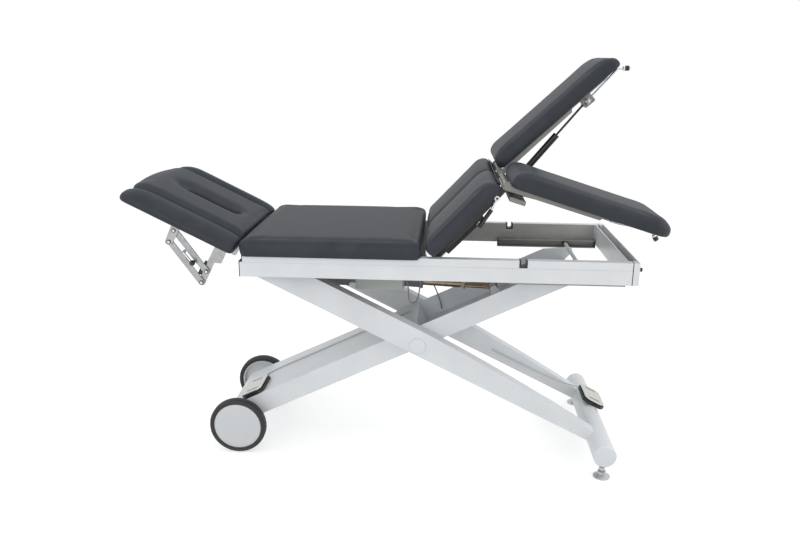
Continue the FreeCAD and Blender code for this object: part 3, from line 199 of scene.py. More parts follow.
HEAD_LEAD_W = 0.0528
FOOT_LEAD_W = 0.0239
head_lead = clipped_lead("head_switch_lead", [(-0.672, -0.005, HEAD_LEAD_W), (-0.672, 0.040, HEAD_LEAD_W),
                                              (-0.562, 0.060, HEAD_LEAD_W), (-0.014, 0.060, HEAD_LEAD_W)],
                         inner_arm, "inner_scissor", "inner_lead")
foot_lead = clipped_lead("foot_switch_lead", [(0.712, 0.123, FOOT_LEAD_W + 0.006),
                                              (0.672, 0.123, FOOT_LEAD_W), (0.622, 0.1522, 0.0),
                                              (0.330, 0.1522, 0.0)],
                         outer_arm, "outer_scissor", "outer_lead")

# %% [markdown]
# ## Node helper and colours
# Materials are trees of nodes. One small function adds a node, sets its options and fills or links its
# inputs, so each material reads as a short recipe. Colours are written as the hex values a screen shows,
# and another function turns them into the linear light that the renderer works in.

# %% Node helper and colours
def linear(code):
    """A hex screen colour as linear red, green, blue and alpha."""
    shares = [int(code[i:i + 2], 16) / 255 for i in (1, 3, 5)]
    light = [s / 12.92 if s <= 0.04045 else ((s + 0.055) / 1.055) ** 2.4 for s in shares]
    return (*light, 1.0)


def add(tree, kind, inputs=None, **options):
    """Add a node, set its options, and fill its inputs with values or with other nodes' outputs."""
    node = tree.nodes.new(kind)
    for name, value in options.items():
        setattr(node, name, value)
    for key, value in (inputs or {}).items():
        if isinstance(value, bpy.types.NodeSocket):
            tree.links.new(value, node.inputs[key])
        else:
            node.inputs[key].default_value = value
    return node


def finish_of(name):
    """A new material, its node tree and its main shader."""
    material = bpy.data.materials.new(name)
    material.use_nodes = True
    tree = material.node_tree
    return material, tree, tree.nodes["Principled BSDF"]


def per_metre(millimetres):
    """Texture scale for a pattern of this size, with coordinates in metres."""
    return 1000.0 / millimetres


print("half of a screen's scale is", round(linear("#808080")[0], 3), "in linear light")

# %% [markdown]
# ## Floor, backdrop and light
# The table stands on white studio paper with a faint soft shadow. The paper gives off some light of its own
# to the camera only, which keeps it white, and a diffuse part on top of that still takes the shadow. The
# lamps are large and soft, at a level where a colour renders about as it is written.

# %% Floor and world
PAPER_GLOW = 0.50
ROOM_LIGHT = 0.72


def seen_directly(tree):
    """One where a ray comes from the camera or through a glossy or clear surface, otherwise zero."""
    path = add(tree, "ShaderNodeLightPath")
    either = add(tree, "ShaderNodeMath", {0: path.outputs["Is Camera Ray"], 1: path.outputs["Is Glossy Ray"]},
                 operation="MAXIMUM")
    return add(tree, "ShaderNodeMath", {0: either.outputs[0], 1: path.outputs["Is Transmission Ray"]},
               operation="MAXIMUM").outputs[0]


paper, tree, shader = finish_of("studio_paper")
tree.nodes.remove(shader)
spread = add(tree, "ShaderNodeBsdfDiffuse", {"Color": linear("#dcdcdc")})
share = add(tree, "ShaderNodeMath", {0: seen_directly(tree), 1: PAPER_GLOW}, operation="MULTIPLY")
glow = add(tree, "ShaderNodeEmission", {"Color": (1, 1, 1, 1), "Strength": share.outputs[0]})
both = add(tree, "ShaderNodeAddShader", {0: spread.outputs[0], 1: glow.outputs[0]})
tree.links.new(both.outputs[0], tree.nodes["Material Output"].inputs["Surface"])

sheet = bmesh.new()
bmesh.ops.create_grid(sheet, x_segments=8, y_segments=8, size=14.0)
floor_mesh = bpy.data.meshes.new("floor")
sheet.to_mesh(floor_mesh)
sheet.free()
floor_mesh.materials.append(paper)
floor = bpy.data.objects.new("floor", floor_mesh)
scene.collection.objects.link(floor)

world = bpy.data.worlds.new("studio")
world.use_nodes = True
scene.world = world
tree = world.node_tree
level_of_room = add(tree, "ShaderNodeMapRange",
                    {"Value": seen_directly(tree), "To Min": ROOM_LIGHT, "To Max": 1.0})
tree.links.new(level_of_room.outputs[0], tree.nodes["Background"].inputs["Strength"])
tree.nodes["Background"].inputs["Color"].default_value = (1, 1, 1, 1)


def soft_box(name, spot, target, width, height, watts):
    """A large soft lamp aimed at a point."""
    data = bpy.data.lights.new(name, "AREA")
    data.shape = "RECTANGLE"
    data.size = width
    data.size_y = height
    data.energy = watts
    lamp = bpy.data.objects.new(name, data)
    lamp.location = spot
    lamp.rotation_euler = (Vector(target) - Vector(spot)).to_track_quat("-Z", "Y").to_euler()
    scene.collection.objects.link(lamp)


soft_box("ceiling_box", (0.0, 0.2, 3.4), (0.0, 0.0, 0.7), 3.4, 2.6, 16)
soft_box("front_box", (-0.9, -3.4, 1.6), (0.0, 0.0, 0.6), 2.4, 1.4, 26)
soft_box("left_box", (-3.0, -0.9, 1.9), (0.2, 0.0, 0.4), 2.0, 1.8, 12)
soft_box("right_box", (3.0, -0.9, 1.9), (0.0, 0.0, 0.3), 2.0, 1.8, 22)
print("floor and lamps are set")

# %% [markdown]
# ## Artificial leather
# The couch is covered in PVC artificial leather: a knitted backing with a soft vinyl skin, embossed with a
# fine leather grain. The skin gives a broad satin sheen, dark grey with a cold tint where it catches the
# light. A Voronoi pattern gives the pebbles of the grain and a noise the slow unevenness of the foam. The
# real grain is about 1 mm, too fine for the picture, so it is drawn at 4 mm.

# %% Artificial leather
leather, tree, shader = finish_of("artificial_leather")
spot = add(tree, "ShaderNodeTexCoord").outputs["Object"]
pebbles = add(tree, "ShaderNodeTexVoronoi", {"Vector": spot, "Scale": per_metre(4.0), "Randomness": 0.9},
              feature="SMOOTH_F1")
uneven = add(tree, "ShaderNodeTexNoise", {"Vector": spot, "Scale": per_metre(70.0), "Detail": 3.0})
tone = add(tree, "ShaderNodeValToRGB", {"Fac": uneven.outputs["Fac"]})
tone.color_ramp.elements[0].position = 0.3
tone.color_ramp.elements[0].color = linear("#2c3136")
tone.color_ramp.elements[1].position = 0.7
tone.color_ramp.elements[1].color = linear("#353a40")
sheen_spread = add(tree, "ShaderNodeMapRange",
                   {"Value": uneven.outputs["Fac"], "To Min": 0.50, "To Max": 0.58})
relief = add(tree, "ShaderNodeMath", {0: pebbles.outputs["Distance"], 1: uneven.outputs["Fac"]},
             operation="ADD")
grain = add(tree, "ShaderNodeBump", {"Height": relief.outputs[0], "Strength": 0.16, "Distance": 0.0006})
tree.links.new(tone.outputs[0], shader.inputs["Base Color"])
tree.links.new(sheen_spread.outputs[0], shader.inputs["Roughness"])
tree.links.new(grain.outputs[0], shader.inputs["Normal"])
shader.inputs["IOR"].default_value = 1.31
shader.inputs["Coat Weight"].default_value = 0.02
shader.inputs["Coat Roughness"].default_value = 0.24
print(leather.name, "with", len(tree.nodes), "nodes")

# %% [markdown]
# ## Painted steel
# Rails, scissor arms and bars are steel tube with a baked powder coat. Powder melts into a smooth, slightly
# wavy skin, the orange peel, about 3 mm from wave to wave, with a satin shine. White, two greys and black of
# it are used, so one function makes the coat and takes the colour.

# %% Painted steel
def powder_coat(name, pale, deep, gloss):
    """Baked powder paint: a faint drift of tone, orange peel and a satin shine."""
    coat, tree, shader = finish_of(name)
    spot = add(tree, "ShaderNodeTexCoord").outputs["Object"]
    drift = add(tree, "ShaderNodeTexNoise", {"Vector": spot, "Scale": per_metre(160.0), "Detail": 2.0})
    tone = add(tree, "ShaderNodeValToRGB", {"Fac": drift.outputs["Fac"]})
    tone.color_ramp.elements[0].position = 0.35
    tone.color_ramp.elements[0].color = linear(deep)
    tone.color_ramp.elements[1].position = 0.65
    tone.color_ramp.elements[1].color = linear(pale)
    peel = add(tree, "ShaderNodeTexNoise", {"Vector": spot, "Scale": per_metre(3.0), "Detail": 1.0})
    waves = add(tree, "ShaderNodeBump", {"Height": peel.outputs["Fac"], "Strength": 0.08, "Distance": 0.0004})
    shine = add(tree, "ShaderNodeMapRange", {"Value": drift.outputs["Fac"], "To Min": gloss - 0.04,
                                             "To Max": gloss + 0.04})
    tree.links.new(tone.outputs[0], shader.inputs["Base Color"])
    tree.links.new(shine.outputs[0], shader.inputs["Roughness"])
    tree.links.new(waves.outputs[0], shader.inputs["Normal"])
    shader.inputs["IOR"].default_value = 1.5
    return coat


white_coat = powder_coat("white_powder_coat", "#dfe3e6", "#d8dcdf", 0.34)
grey_coat = powder_coat("grey_powder_coat", "#93938f", "#888783", 0.42)
liner_coat = powder_coat("rail_liner_grey", "#a3a2a0", "#999896", 0.45)
dark_coat = powder_coat("black_powder_coat", "#2a2b2c", "#232425", 0.45)
print("four powder coats")

# %% [markdown]
# ## Zinc-plated and bright steel
# Links, bolts and release rods are zinc-plated steel: a pale grey metal with a soft cloudy pattern from the
# plating bath. The fork of the lift drive has a yellow passivated zinc, which is the same metal with a
# golden film. A metal gets its look from a high metallic value and a cloudy roughness.

# %% Zinc-plated and bright steel
def plated(name, pale, deep, dull, shiny):
    """Zinc plating: cloudy colour and roughness on bare metal."""
    metal, tree, shader = finish_of(name)
    spot = add(tree, "ShaderNodeTexCoord").outputs["Object"]
    cloud = add(tree, "ShaderNodeTexNoise", {"Vector": spot, "Scale": per_metre(18.0), "Detail": 4.0})
    tone = add(tree, "ShaderNodeValToRGB", {"Fac": cloud.outputs["Fac"]})
    tone.color_ramp.elements[0].position = 0.3
    tone.color_ramp.elements[0].color = linear(deep)
    tone.color_ramp.elements[1].position = 0.7
    tone.color_ramp.elements[1].color = linear(pale)
    haze = add(tree, "ShaderNodeMapRange", {"Value": cloud.outputs["Fac"], "To Min": shiny, "To Max": dull})
    tree.links.new(tone.outputs[0], shader.inputs["Base Color"])
    tree.links.new(haze.outputs[0], shader.inputs["Roughness"])
    shader.inputs["Metallic"].default_value = 1.0
    return metal


zinc = plated("zinc_plated_steel", "#aaabac", "#97989a", 0.48, 0.34)
yellow_zinc = plated("yellow_zinc_steel", "#a3927a", "#857662", 0.44, 0.30)
pressed_steel = plated("pressed_treadle_steel", "#d2d2cd", "#c6c6c1", 0.46, 0.34)
turned_steel = plated("turned_foot_steel", "#bec1c3", "#b1b4b6", 0.44, 0.32)
bright_steel = plated("bright_steel", "#d6d7d8", "#c6c7c9", 0.30, 0.18)
print("plated metals")

# %% [markdown]
# ## Plastics and rubber
# Caps, grips and the gas springs are black, the wheel discs and the control box are moulded plastic, and the
# tyres are dull rubber. Moulded parts have a fine spark-eroded texture of about 0.5 mm, drawn at 2 mm here so
# that it shows at all. The leads clipped to the white frames hardly show in the photograph, so their PVC is
# paler.

# %% Plastics and rubber
def moulded(name, colour, rough, texture_mm, depth):
    """Moulded plastic or rubber with a fine even texture."""
    mould, tree, shader = finish_of(name)
    spot = add(tree, "ShaderNodeTexCoord").outputs["Object"]
    specks = add(tree, "ShaderNodeTexNoise", {"Vector": spot, "Scale": per_metre(texture_mm), "Detail": 2.0})
    tone = add(tree, "ShaderNodeHueSaturation", {"Color": linear(colour)})
    lightness = add(tree, "ShaderNodeMapRange",
                    {"Value": specks.outputs["Fac"], "To Min": 0.94, "To Max": 1.06})
    tree.links.new(lightness.outputs[0], tone.inputs["Value"])
    dull = add(tree, "ShaderNodeMapRange", {"Value": specks.outputs["Fac"], "To Min": rough - 0.05,
                                            "To Max": rough + 0.05})
    skin = add(tree, "ShaderNodeBump", {"Height": specks.outputs["Fac"], "Strength": depth,
                                        "Distance": 0.0004})
    tree.links.new(tone.outputs[0], shader.inputs["Base Color"])
    tree.links.new(dull.outputs[0], shader.inputs["Roughness"])
    tree.links.new(skin.outputs[0], shader.inputs["Normal"])
    shader.inputs["IOR"].default_value = 1.5
    return mould


black_plastic = moulded("black_polyamide", "#1c1d1f", 0.45, 2.0, 0.10)
spring_black = moulded("black_spring_enamel", "#0f1011", 0.40, 3.0, 0.03)
tyre_rubber = moulded("tyre_rubber", "#27282b", 0.62, 2.0, 0.20)
disc_plastic = moulded("wheel_disc_abs", "#ced2d5", 0.38, 2.5, 0.04)
box_plastic = moulded("control_box_abs", "#a9afab", 0.5, 2.0, 0.10)
lead_pvc = moulded("lead_pvc", "#7f8284", 0.5, 2.0, 0.05)
pale_pvc = moulded("pale_lead_pvc", "#b9bcbe", 0.5, 2.0, 0.05)
drive_grey = moulded("drive_housing", "#6d7074", 0.45, 2.0, 0.10)
print("plastics and rubber")

# %% [markdown]
# ## Finishes on the solids
# Most solids keep their own shape and only need their finish. All are white at first, and a table says which
# of them get another.

# %% Finishes on the solids
FINISHES = (
    (pressed_steel, ("head_pedal_plate", "foot_pedal_plate")),
    (turned_steel, ("foot_discs", "foot_stems", "wheel_axle")),
    (zinc, ("head_frame", "arm_upper_link_near", "arm_upper_link_far", "arm_lower_link_near",
            "arm_lower_link_far", "armrest_bracket_near", "armrest_bracket_far")),
    (grey_coat, ("guide_rails", "leg_carrier", "leg_frame_near", "leg_frame_far")),
    (dark_coat, ("thigh_frame", "seat_cross_tube", "head_end_frame")),
    (black_plastic, ("rail_caps", "head_pedal_base", "foot_pedal_base", "guide_rollers")),
    (spring_black, ("thigh_spring_tube", "leg_spring_tube_near", "leg_spring_tube_far",
                    "leg_spring_rod_near", "leg_spring_rod_far")),
    (bright_steel, ("thigh_spring_rod", "thigh_lever", "leg_lever_near", "leg_lever_far",
                    "lock_lever_near", "lock_lever_far")),
    (tyre_rubber, ("tyre_near", "tyre_far")),
    (disc_plastic, ("disc_near", "disc_far")),
    (box_plastic, ("control_box",)),
    (drive_grey, ("actuator_body",)),
    (yellow_zinc, ("actuator_rod",)),
)
finish_for = dict.fromkeys(solids, white_coat)
for finish, names in FINISHES:
    for name in names:
        finish_for[name] = finish
for name, finish in finish_for.items():
    data = solids[name].data
    data.materials.clear()
    data.materials.append(finish)
for lead, pvc in ((box_lead, lead_pvc), (drop_lead, lead_pvc), (head_lead, pale_pvc), (foot_lead, pale_pvc)):
    lead.data.materials.clear()
    lead.data.materials.append(pvc)
print(len(finish_for), "solids have a finish")

# %% [markdown]
# ## Cushions
# Each pad is a board with firm foam on it, pulled into its artificial leather and stapled underneath. So the
# underside stays flat and the rest swells a little against the cover. That is what a cloth simulation with
# air pressure does: the solid is remeshed into even squares and blown up for twenty frames with its underside
# held. It starts 1.5 mm larger, because smoothing draws it in. The foam is firm, so the movement is capped
# and most of any pull inwards is taken back. What the upholsterer shaped on purpose, such as the nose recess,
# a sewn channel or a rounded end, is pressed in afterwards.

# %% Cushion helpers
PAD = 0.050
START_LARGER = 0.0015
FIRMNESS = 0.85
NET_STEP = 0.006
AIR_PRESSURE = 4.0
BLOW_FRAMES = 20
HELD_BAND = 0.002


def even_net(node, place):
    """The solid of a cushion in its section's own frame, remeshed into even squares."""
    mesh = solids[node].data.copy()
    mesh.transform(place.inverted())
    rough = bpy.data.objects.new(node + "_foam", mesh)
    scene.collection.objects.link(rough)
    net = rough.modifiers.new("net", "REMESH")
    net.mode = "VOXEL"
    net.voxel_size = NET_STEP
    bpy.context.view_layer.update()
    ready = bpy.data.meshes.new_from_object(rough.evaluated_get(bpy.context.evaluated_depsgraph_get()))
    bpy.data.objects.remove(rough)
    bpy.data.meshes.remove(mesh)
    return ready


def even_out(mesh, held, passes):
    """Even out the net with a few smoothing passes, with the underside held."""
    net = bmesh.new()
    net.from_mesh(mesh)
    loose = [v for v in net.verts if v.index not in held]
    for _ in range(passes):
        bmesh.ops.smooth_vert(net, verts=loose, factor=0.5, use_axis_x=True, use_axis_y=True, use_axis_z=True)
    net.to_mesh(mesh)
    net.free()


def blow_up(piece, held, cap):
    """Twenty frames of air pressure under the cover, each point kept within the cap."""
    mesh = piece.data
    start = [v.co.copy() for v in mesh.vertices]
    piece.vertex_groups.new(name="held").add(sorted(held), 1.0, "REPLACE")
    cover = piece.modifiers.new("cover", "CLOTH")
    cover.settings.quality = 3
    cover.settings.use_pressure = True
    cover.settings.uniform_pressure_force = AIR_PRESSURE
    cover.settings.effector_weights.gravity = 0.0
    cover.settings.vertex_group_mass = "held"
    cover.point_cache.frame_start = 1
    cover.point_cache.frame_end = BLOW_FRAMES
    for moment in range(1, BLOW_FRAMES + 1):
        scene.frame_set(moment)
    swollen = piece.evaluated_get(bpy.context.evaluated_depsgraph_get()).to_mesh()
    moves = [after.co - before for before, after in zip(start, swollen.vertices)]
    outward = [v.normal.copy() for v in mesh.vertices]
    piece.modifiers.remove(cover)
    piece.vertex_groups.clear()
    scene.frame_set(1)
    for vertex, before, move, out in zip(mesh.vertices, start, moves, outward):
        if move.dot(out) < 0:
            move = move - out * (move.dot(out) * FIRMNESS)
        vertex.co = before + move * min(1.0, cap / max(move.length, 1e-9))


def upholster(node, body, place, base, cap, press):
    """A cushion over its solid: press(spot, normal) says how far each point is pressed out of its place."""
    mesh = even_net(node, place)
    piece = bpy.data.objects.new(node.replace("_cushion", "") + "_cover", mesh)
    scene.collection.objects.link(piece)
    piece.matrix_world = place
    held = {v.index for v in mesh.vertices if v.co.z < base + HELD_BAND}
    for vertex in mesh.vertices:
        if vertex.index not in held:
            vertex.co += vertex.normal * START_LARGER
    even_out(mesh, held, 2)
    blow_up(piece, held, cap)
    even_out(mesh, held, 2)
    mesh.update()
    faces_out = [v.normal.copy() for v in mesh.vertices]
    for vertex, out in zip(mesh.vertices, faces_out):
        height = min(1.0, max(0.0, (vertex.co.z - base) / PAD))
        vertex.co += press(vertex.co, out) * height
    even_out(mesh, held, 2)
    for face in mesh.polygons:
        face.use_smooth = True
    mesh.materials.clear()
    mesh.materials.append(leather)
    piece.modifiers.new("finer", "SUBSURF").levels = 1
    piece.modifiers["finer"].render_levels = 1
    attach(piece, body)
    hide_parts(node)
    print(piece.name, len(mesh.vertices), "points")
    return piece


def bell(distance, width):
    """One at distance zero, falling softly to nothing."""
    return math.exp(-(distance / width) ** 2)


def ramp(value, start, end):
    """Zero before start, rising with the square to one at end."""
    share = min(1.0, max(0.0, (value - start) / (end - start)))
    return share * share


# %% Seat cushion
COUCH_HALF = 0.325
SEAT_MIDDLE = -0.350
SEAT_HALF = 0.308
SEAT_BASE = 0.7973
RAIL_SIDE = 0.3125
HEM_RISE = 0.020
HEM_DROP = 0.006


def seat_press(spot, out):
    """A low crown, with the long sides drawn in a little between the corners."""
    endways = (spot.x - SEAT_MIDDLE) / SEAT_HALF
    aside = spot.y / COUCH_HALF
    crown = 0.003 * (1 - endways * endways) * (1 - aside * aside)
    draw = -0.002 * (1 - endways * endways) * math.copysign(ramp(abs(spot.y), 0.25, COUCH_HALF), spot.y)
    ends = 0.004 * math.copysign(ramp(abs(endways), 0.9, 1.0), endways)
    return Vector((ends, draw, crown))


def hem_over_rails(piece):
    """Let the cover hang a little lower outside the rails, where it is pulled round the board."""
    for vertex in piece.data.vertices:
        if abs(vertex.co.y) > RAIL_SIDE:
            share = 1 - min(1.0, max(0.0, (vertex.co.z - SEAT_BASE) / HEM_RISE))
            vertex.co.z -= HEM_DROP * share


seat_cover = upholster("seat_cushion", "table", table_part, SEAT_BASE, cap=0.008,
                       press=seat_press)
hem_over_rails(seat_cover)

# %% [markdown]
# ## Head section
# The head rest is three pads side by side: the middle one with a recess for the nose, and an armrest on each
# side that can be lowered. Their edges roll over, so soft valleys show between them, and the outer ends and
# sides fall away like a loaf.

# %% Head and armrest cushions
HEAD_HALF = 0.225
HEAD_END = 0.423
HEAD_BASE = 0.010
SLOT_HALF = 0.083
SLOT_FROM_HINGE = -0.205


def from_slot(spot):
    """Distance from the middle line of the nose recess."""
    beyond = max(0.0, abs(spot.x - SLOT_FROM_HINGE) - SLOT_HALF)
    return math.hypot(beyond, spot.y)


def head_press(spot, out):
    """Rolled edges, a soft rim round the nose recess and a rounded, bowed head end."""
    valley = 0.009 * bell(abs(spot.y) - HEAD_HALF, 0.022)
    rim = 0.018 * bell(max(0.0, from_slot(spot) - 0.020), 0.028)
    end = 0.014 * ramp(-spot.x, 0.345, HEAD_END)
    bow = 0.022 * ramp(-spot.x, 0.25, HEAD_END) * (1 - (spot.y / HEAD_HALF) ** 2)
    return Vector((-bow, 0.0, -valley - rim - end))


def armrest_press(spot, out):
    """A valley at the inner edge, and the outer side and the head end rolled down."""
    valley = 0.009 * bell(abs(spot.y) - HEAD_HALF - 0.003, 0.022)
    side = 0.016 * ramp(abs(spot.y), 0.255, COUCH_HALF)
    end = 0.018 * ramp(-spot.x, 0.335, HEAD_END)
    return Vector((0.0, 0.0, -valley - side - end))


upholster("head_cushion", "head", head_part, HEAD_BASE, cap=0.006, press=head_press)
for side in ("near", "far"):
    upholster(f"armrest_cushion_{side}", f"armrest_{side}", head_part, HEAD_BASE, cap=0.005,
              press=armrest_press)

# %% [markdown]
# ## Thigh and leg sections
# The thigh pad has one sewn channel down its middle that carries on over the knee edge, in line with the gap
# between the two leg pads. The leg pads are plain, and roll down at their outer tips.

# %% Thigh and leg cushions
KNEE_END = 0.331
LEG_TIP = 0.562
LEG_MIDDLE = 0.165
THIGH_BASE = 0.0135
LEG_BASE = 0.0068


def thigh_press(spot, out):
    """A sewn channel along the middle, pulled in square to the cover, and two low crowns beside it."""
    channel = 0.011 * bell(spot.y, 0.013) + 0.004 * bell(spot.y, 0.045)
    lobe = 0.003 * bell(abs(spot.y) - 0.16, 0.09)
    knee = 0.006 * ramp(spot.x, 0.27, KNEE_END)
    return out * (lobe - channel) + Vector((0.0, 0.0, -knee))


def leg_press(spot, out):
    """A low crown and a tip that rolls down."""
    middle = abs(spot.y) - LEG_MIDDLE
    crown = 0.003 * (1 - (middle / 0.16) ** 2)
    tip = 0.013 * ramp(spot.x, 0.475, LEG_TIP)
    return Vector((0.0, 0.0, crown - tip))


upholster("thigh_cushion", "thigh", thigh_part, THIGH_BASE, cap=0.006, press=thigh_press)
for side, place in (("near", near_leg_part), ("far", far_leg_part)):
    upholster(f"leg_cushion_{side}", f"leg_{side}", place, LEG_BASE, cap=0.007, press=leg_press)

# %% [markdown]
# ## Bolts, knobs and grips
# Small turned parts finish the mechanism: domed bolts with a dark washer on the armrest links, black ball
# knobs on the lock levers and moulded grips on the release levers. A lathe makes such parts from a profile,
# so a profile of radius and height, spun round its axis, makes them here too.

# %% Lathe helper
STEPS = 28


def turned(name, profile, place, body, finish):
    """A solid of revolution from a profile of radius and height, both in millimetres."""
    net = bmesh.new()
    rings = []
    for radius, height in profile:
        ring = []
        for k in range(STEPS):
            turn = 2 * math.pi * k / STEPS
            ring.append(net.verts.new((radius / 1000 * math.cos(turn), radius / 1000 * math.sin(turn),
                                       height / 1000)))
        rings.append(ring)
    for lower, upper in zip(rings, rings[1:]):
        for k in range(STEPS):
            net.faces.new((lower[k], lower[(k + 1) % STEPS], upper[(k + 1) % STEPS], upper[k]))
    net.faces.new(list(reversed(rings[0])))
    net.faces.new(rings[-1])
    mesh = bpy.data.meshes.new(name)
    net.to_mesh(mesh)
    net.free()
    for face in mesh.polygons:
        face.use_smooth = len(face.vertices) == 4
    mesh.materials.append(finish)
    piece = bpy.data.objects.new(name, mesh)
    piece.matrix_world = place
    scene.collection.objects.link(piece)
    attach(piece, body)


def sideways(place, u, y, w):
    """A turned part's axis across the couch, pointing outwards, at a spot given in millimetres."""
    outward = 90 if y < 0 else -90
    spot = Matrix.Translation(Vector((u / 1000, y / 1000, w / 1000)))
    return place @ spot @ Matrix.Rotation(math.radians(outward), 4, "X")


WASHER = [(4.0, 0.0), (7.6, 0.0), (7.9, 0.4), (7.9, 1.2), (7.5, 1.6), (4.0, 1.6)]
DOME = [(5.6, 1.5), (5.6, 2.4), (5.2, 3.2), (4.2, 4.0), (2.9, 4.4), (2.6, 3.6), (0.8, 3.5)]


def bolt(name, place, body):
    """A domed bolt with a socket, on a dark washer."""
    turned(name + "_washer", WASHER, place, body, black_plastic)
    turned(name + "_head", DOME, place, body, bright_steel)


# %% Bolts of the armrest links
ROOT_PINS = {"upper": (-72.3, -123.5), "lower": (-72.3, -169.3)}
TIP_PINS = {"upper": (-232.3, -37.0), "lower": (-232.3, -82.8)}
ROOT_FACE = 219.0
TIP_FACE = 225.0
for side, way in (("near", -1), ("far", 1)):
    for which, (u, w) in ROOT_PINS.items():
        bolt(f"{which}_root_bolt_{side}", sideways(head_part, u, way * ROOT_FACE, w), f"{which}_link_{side}")
    for which, (u, w) in TIP_PINS.items():
        bolt(f"{which}_tip_bolt_{side}", sideways(head_part, u, way * TIP_FACE, w), f"armrest_{side}")
print("eight link bolts")

# %% Knobs and grips
BALL_RADIUS = 10.3
BALL_STEPS = 12
LOCK_U = -127.3
LOCK_Y = 231.0
LOCK_W = -112.8
ball = [(3.6, -10.2)]
for k in range(BALL_STEPS + 1):
    turn = math.radians(-60 + 150 * k / BALL_STEPS)
    ball.append((max(0.4, BALL_RADIUS * math.cos(turn)), BALL_RADIUS * math.sin(turn)))
for side, way in (("near", -1), ("far", 1)):
    turned(f"lock_knob_{side}", ball, sideways(head_part, LOCK_U, way * LOCK_Y, LOCK_W), f"lock_lever_{side}",
           black_plastic)


def along(place, start, end, y):
    """A turned part's axis from one point to another of a section, both in millimetres."""
    first = Vector((start[0], y, start[1])) / 1000
    way = Vector((end[0] - start[0], 0.0, end[1] - start[1]))
    turn = way.to_track_quat("Z", "Y").to_matrix().to_4x4()
    return place @ Matrix.Translation(first) @ turn, way.length


GRIP_START = (254.0, -15.6)
GRIP_END = (184.0, -28.0)
GRIP_Y = -269.1
place, reach = along(thigh_part, GRIP_START, GRIP_END, GRIP_Y)
grip = [(5.2, -1.0), (6.6, 0.0), (7.2, 2.0), (7.2, 0.3 * reach), (6.9, 0.5 * reach), (7.2, 0.7 * reach),
        (7.4, reach - 3), (6.8, reach - 0.8), (4.5, reach + 0.4), (1.0, reach + 0.7)]
turned("thigh_grip", grip, place, "thigh_lever", black_plastic)
knob = [(5.0, -1.0), (6.8, 0.0), (8.0, 3.0), (9.1, 9.0), (9.4, 16.0), (8.8, 21.0), (6.8, 24.2), (3.5, 25.4),
        (0.8, 25.6)]
KNOB_START = (570.0, -21.0)
KNOB_END = (588.0, -37.0)
KNOB_Y = 110.0
for side, way, place in (("near", -1, near_leg_part), ("far", 1, far_leg_part)):
    spot, _ = along(place, KNOB_START, KNOB_END, way * KNOB_Y)
    turned(f"leg_knob_{side}", knob, spot, f"leg_lever_{side}", black_plastic)
print("knobs and grips")

# %% [markdown]
# ## Caps, blocks and plates
# The rest is small: covers over the spring pins, friction blocks of the armrest links, grey liners inside
# the rails, a screwed plate inside the far one, a stop knob on the end block and screws under the near rail.
# Plates are drawn as an outline with a bevelled edge, because a sharp edge would catch no light.

# %% Plate helper
STAND_UP = Matrix.Rotation(math.radians(90), 4, "X")


def plate(name, outline, thick, place, body, finish, edge=0.8):
    """A plate from an outline in millimetres, standing up along its own Z, with bevelled edges."""
    net = bmesh.new()
    base = net.faces.new([net.verts.new((x / 1000, y / 1000, 0.0)) for x, y in outline])
    grown = bmesh.ops.extrude_face_region(net, geom=[base])["geom"]
    bmesh.ops.translate(net, verts=[g for g in grown if isinstance(g, bmesh.types.BMVert)],
                        vec=(0.0, 0.0, thick / 1000))
    bmesh.ops.recalc_face_normals(net, faces=net.faces)
    bmesh.ops.bevel(net, geom=list(net.edges), offset=edge / 1000, segments=2, affect="EDGES", profile=0.6)
    mesh = bpy.data.meshes.new(name)
    net.to_mesh(mesh)
    net.free()
    mesh.materials.append(finish)
    piece = bpy.data.objects.new(name, mesh)
    piece.matrix_world = place
    scene.collection.objects.link(piece)
    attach(piece, body)


def rectangle(width, height):
    """Corners of a rectangle round the origin."""
    return [(-width / 2, -height / 2), (width / 2, -height / 2), (width / 2, height / 2),
            (-width / 2, height / 2)]


# %% Pin covers and friction blocks
PIN_COVER = [(13.6, 0.0), (13.6, 1.0), (12.6, 1.8), (6.4, 2.0), (6.2, 3.6), (5.2, 4.4), (2.4, 4.5),
             (2.2, 3.7), (0.6, 3.6)]
BLOCK_THICK = 6.0
BLOCK_Y = 0.210
BLOCKS = (("friction_block", -0.0875, -0.1025, 11, 24), ("friction_pad", -0.0905, -0.1360, 16, 21))
for side, way, place in (("near", -1, near_leg_part), ("far", 1, far_leg_part)):
    pin_end = place @ Matrix.Translation(Vector((0.394, way * 0.0376, -0.014)))
    turned(f"spring_pin_cover_{side}", PIN_COVER, pin_end @ Matrix.Rotation(math.radians(90 * way), 4, "X"),
           f"leg_{side}", zinc)
    for label, u, w, width, height in BLOCKS:
        middle = Vector((u, way * BLOCK_Y + BLOCK_THICK / 2000, w))
        plate(f"{label}_{side}", rectangle(width, height), BLOCK_THICK,
              head_part @ Matrix.Translation(middle) @ STAND_UP, "head", dark_coat)
print("pin covers and friction blocks")

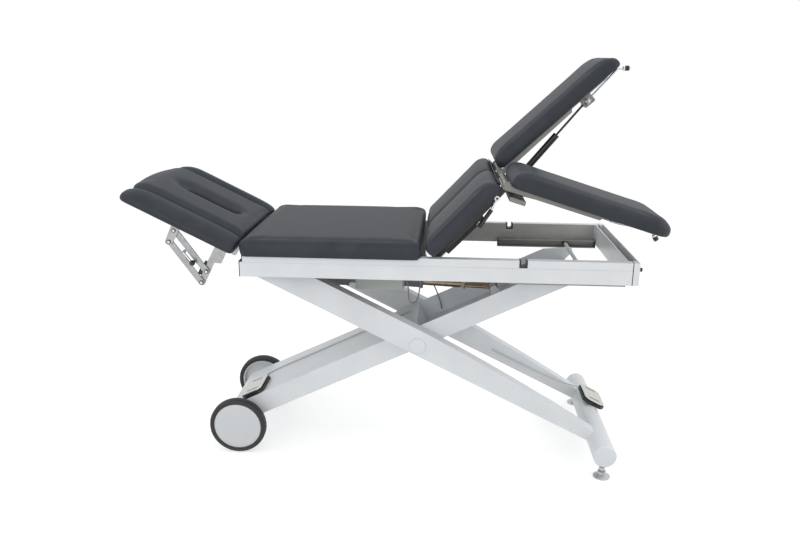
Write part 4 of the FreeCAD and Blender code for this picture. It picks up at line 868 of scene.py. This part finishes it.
# %% Rail fittings
RAIL_Y = -0.295
RAIL_UNDERSIDE = 0.719
LINER_Z = 0.7545
LINER = [(-648, -35), (250, -35), (250, -16), (643, -16), (643, 42), (314.4, 42), (314.4, 15.5),
         (285.6, 15.5), (285.6, 42), (-648, 42)]
PLATE_SCREW = [(4.2, 0.0), (4.2, 0.8), (3.4, 1.6), (1.6, 1.7), (1.4, 1.0), (0.4, 0.9)]
STOP = [(3.2, 0.0), (3.2, 2.5), (6.2, 3.0), (6.8, 4.5), (6.8, 9.0), (6.0, 10.6), (3.0, 11.4), (0.6, 11.5)]
SCREW = [(3.0, 0.0), (4.4, 0.3), (4.6, 1.6), (4.0, 3.0), (2.4, 3.6), (2.2, 2.8), (0.5, 2.7)]
for side, y in (("near", -0.2792), ("far", 0.2800)):
    wall = table_part @ Matrix.Translation(Vector((0.0, y, LINER_Z))) @ STAND_UP
    plate(f"rail_liner_{side}", LINER, 0.8, wall, "table", liner_coat, edge=0.2)
far_wall = table_part @ Matrix.Translation(Vector((0.270, 0.2792, 0.7490))) @ STAND_UP
plate("rail_inset_plate", rectangle(124, 20), 1.2, far_wall, "table", liner_coat, edge=0.5)
turned("rail_plate_screw", PLATE_SCREW, far_wall @ Matrix.Translation(Vector((0.002, 0.0, 0.0012))),
       "table", zinc)
stop_spot = table_part @ Matrix.Translation(Vector((0.682, RAIL_Y, 0.772)))
turned("end_stop_knob", STOP, stop_spot @ Matrix.Rotation(math.radians(90), 4, "Y"), "table",
       black_plastic)
for k, x in enumerate((0.238, 0.598)):
    spot = Matrix.Translation(Vector((x, RAIL_Y, RAIL_UNDERSIDE)))
    under = table_part @ spot @ Matrix.Rotation(math.pi, 4, "X")
    turned(f"rail_screw_{k + 1}", SCREW, under, "table", dark_coat)
print("rail fittings")

# %% [markdown]
# ## Painted shade at the knee
# A dark edge runs along the knee end of the thigh pad, with a little light behind it; no part shows there,
# only shade.
# Here it is painted shade: a thin black strip on the end of the pad, short enough to stay inside the
# rounded corners. What it is made of can't be seen. Here it is a guess: a thin black strip on the end of the
# pad, short enough to stay inside the rounded corners.

# %% Painted shade at the knee
knee_spot = Matrix.Translation(Vector((0.3345, 0.0, 0.029)))
knee_end = thigh_part @ knee_spot @ Matrix.Rotation(math.radians(90), 4, "Y")
# Painted shade: a thin black strip over the shaded knee end of the thigh pad.
plate("knee_painted_shade_strip", rectangle(20, 590), 2.0, knee_end, "thigh", black_plastic, edge=0.6)
print("dark edge at the knee")

# %% [markdown]
# ## Finish
# The scene is updated once more at the end.

# %% Update the scene
bpy.context.view_layer.update()
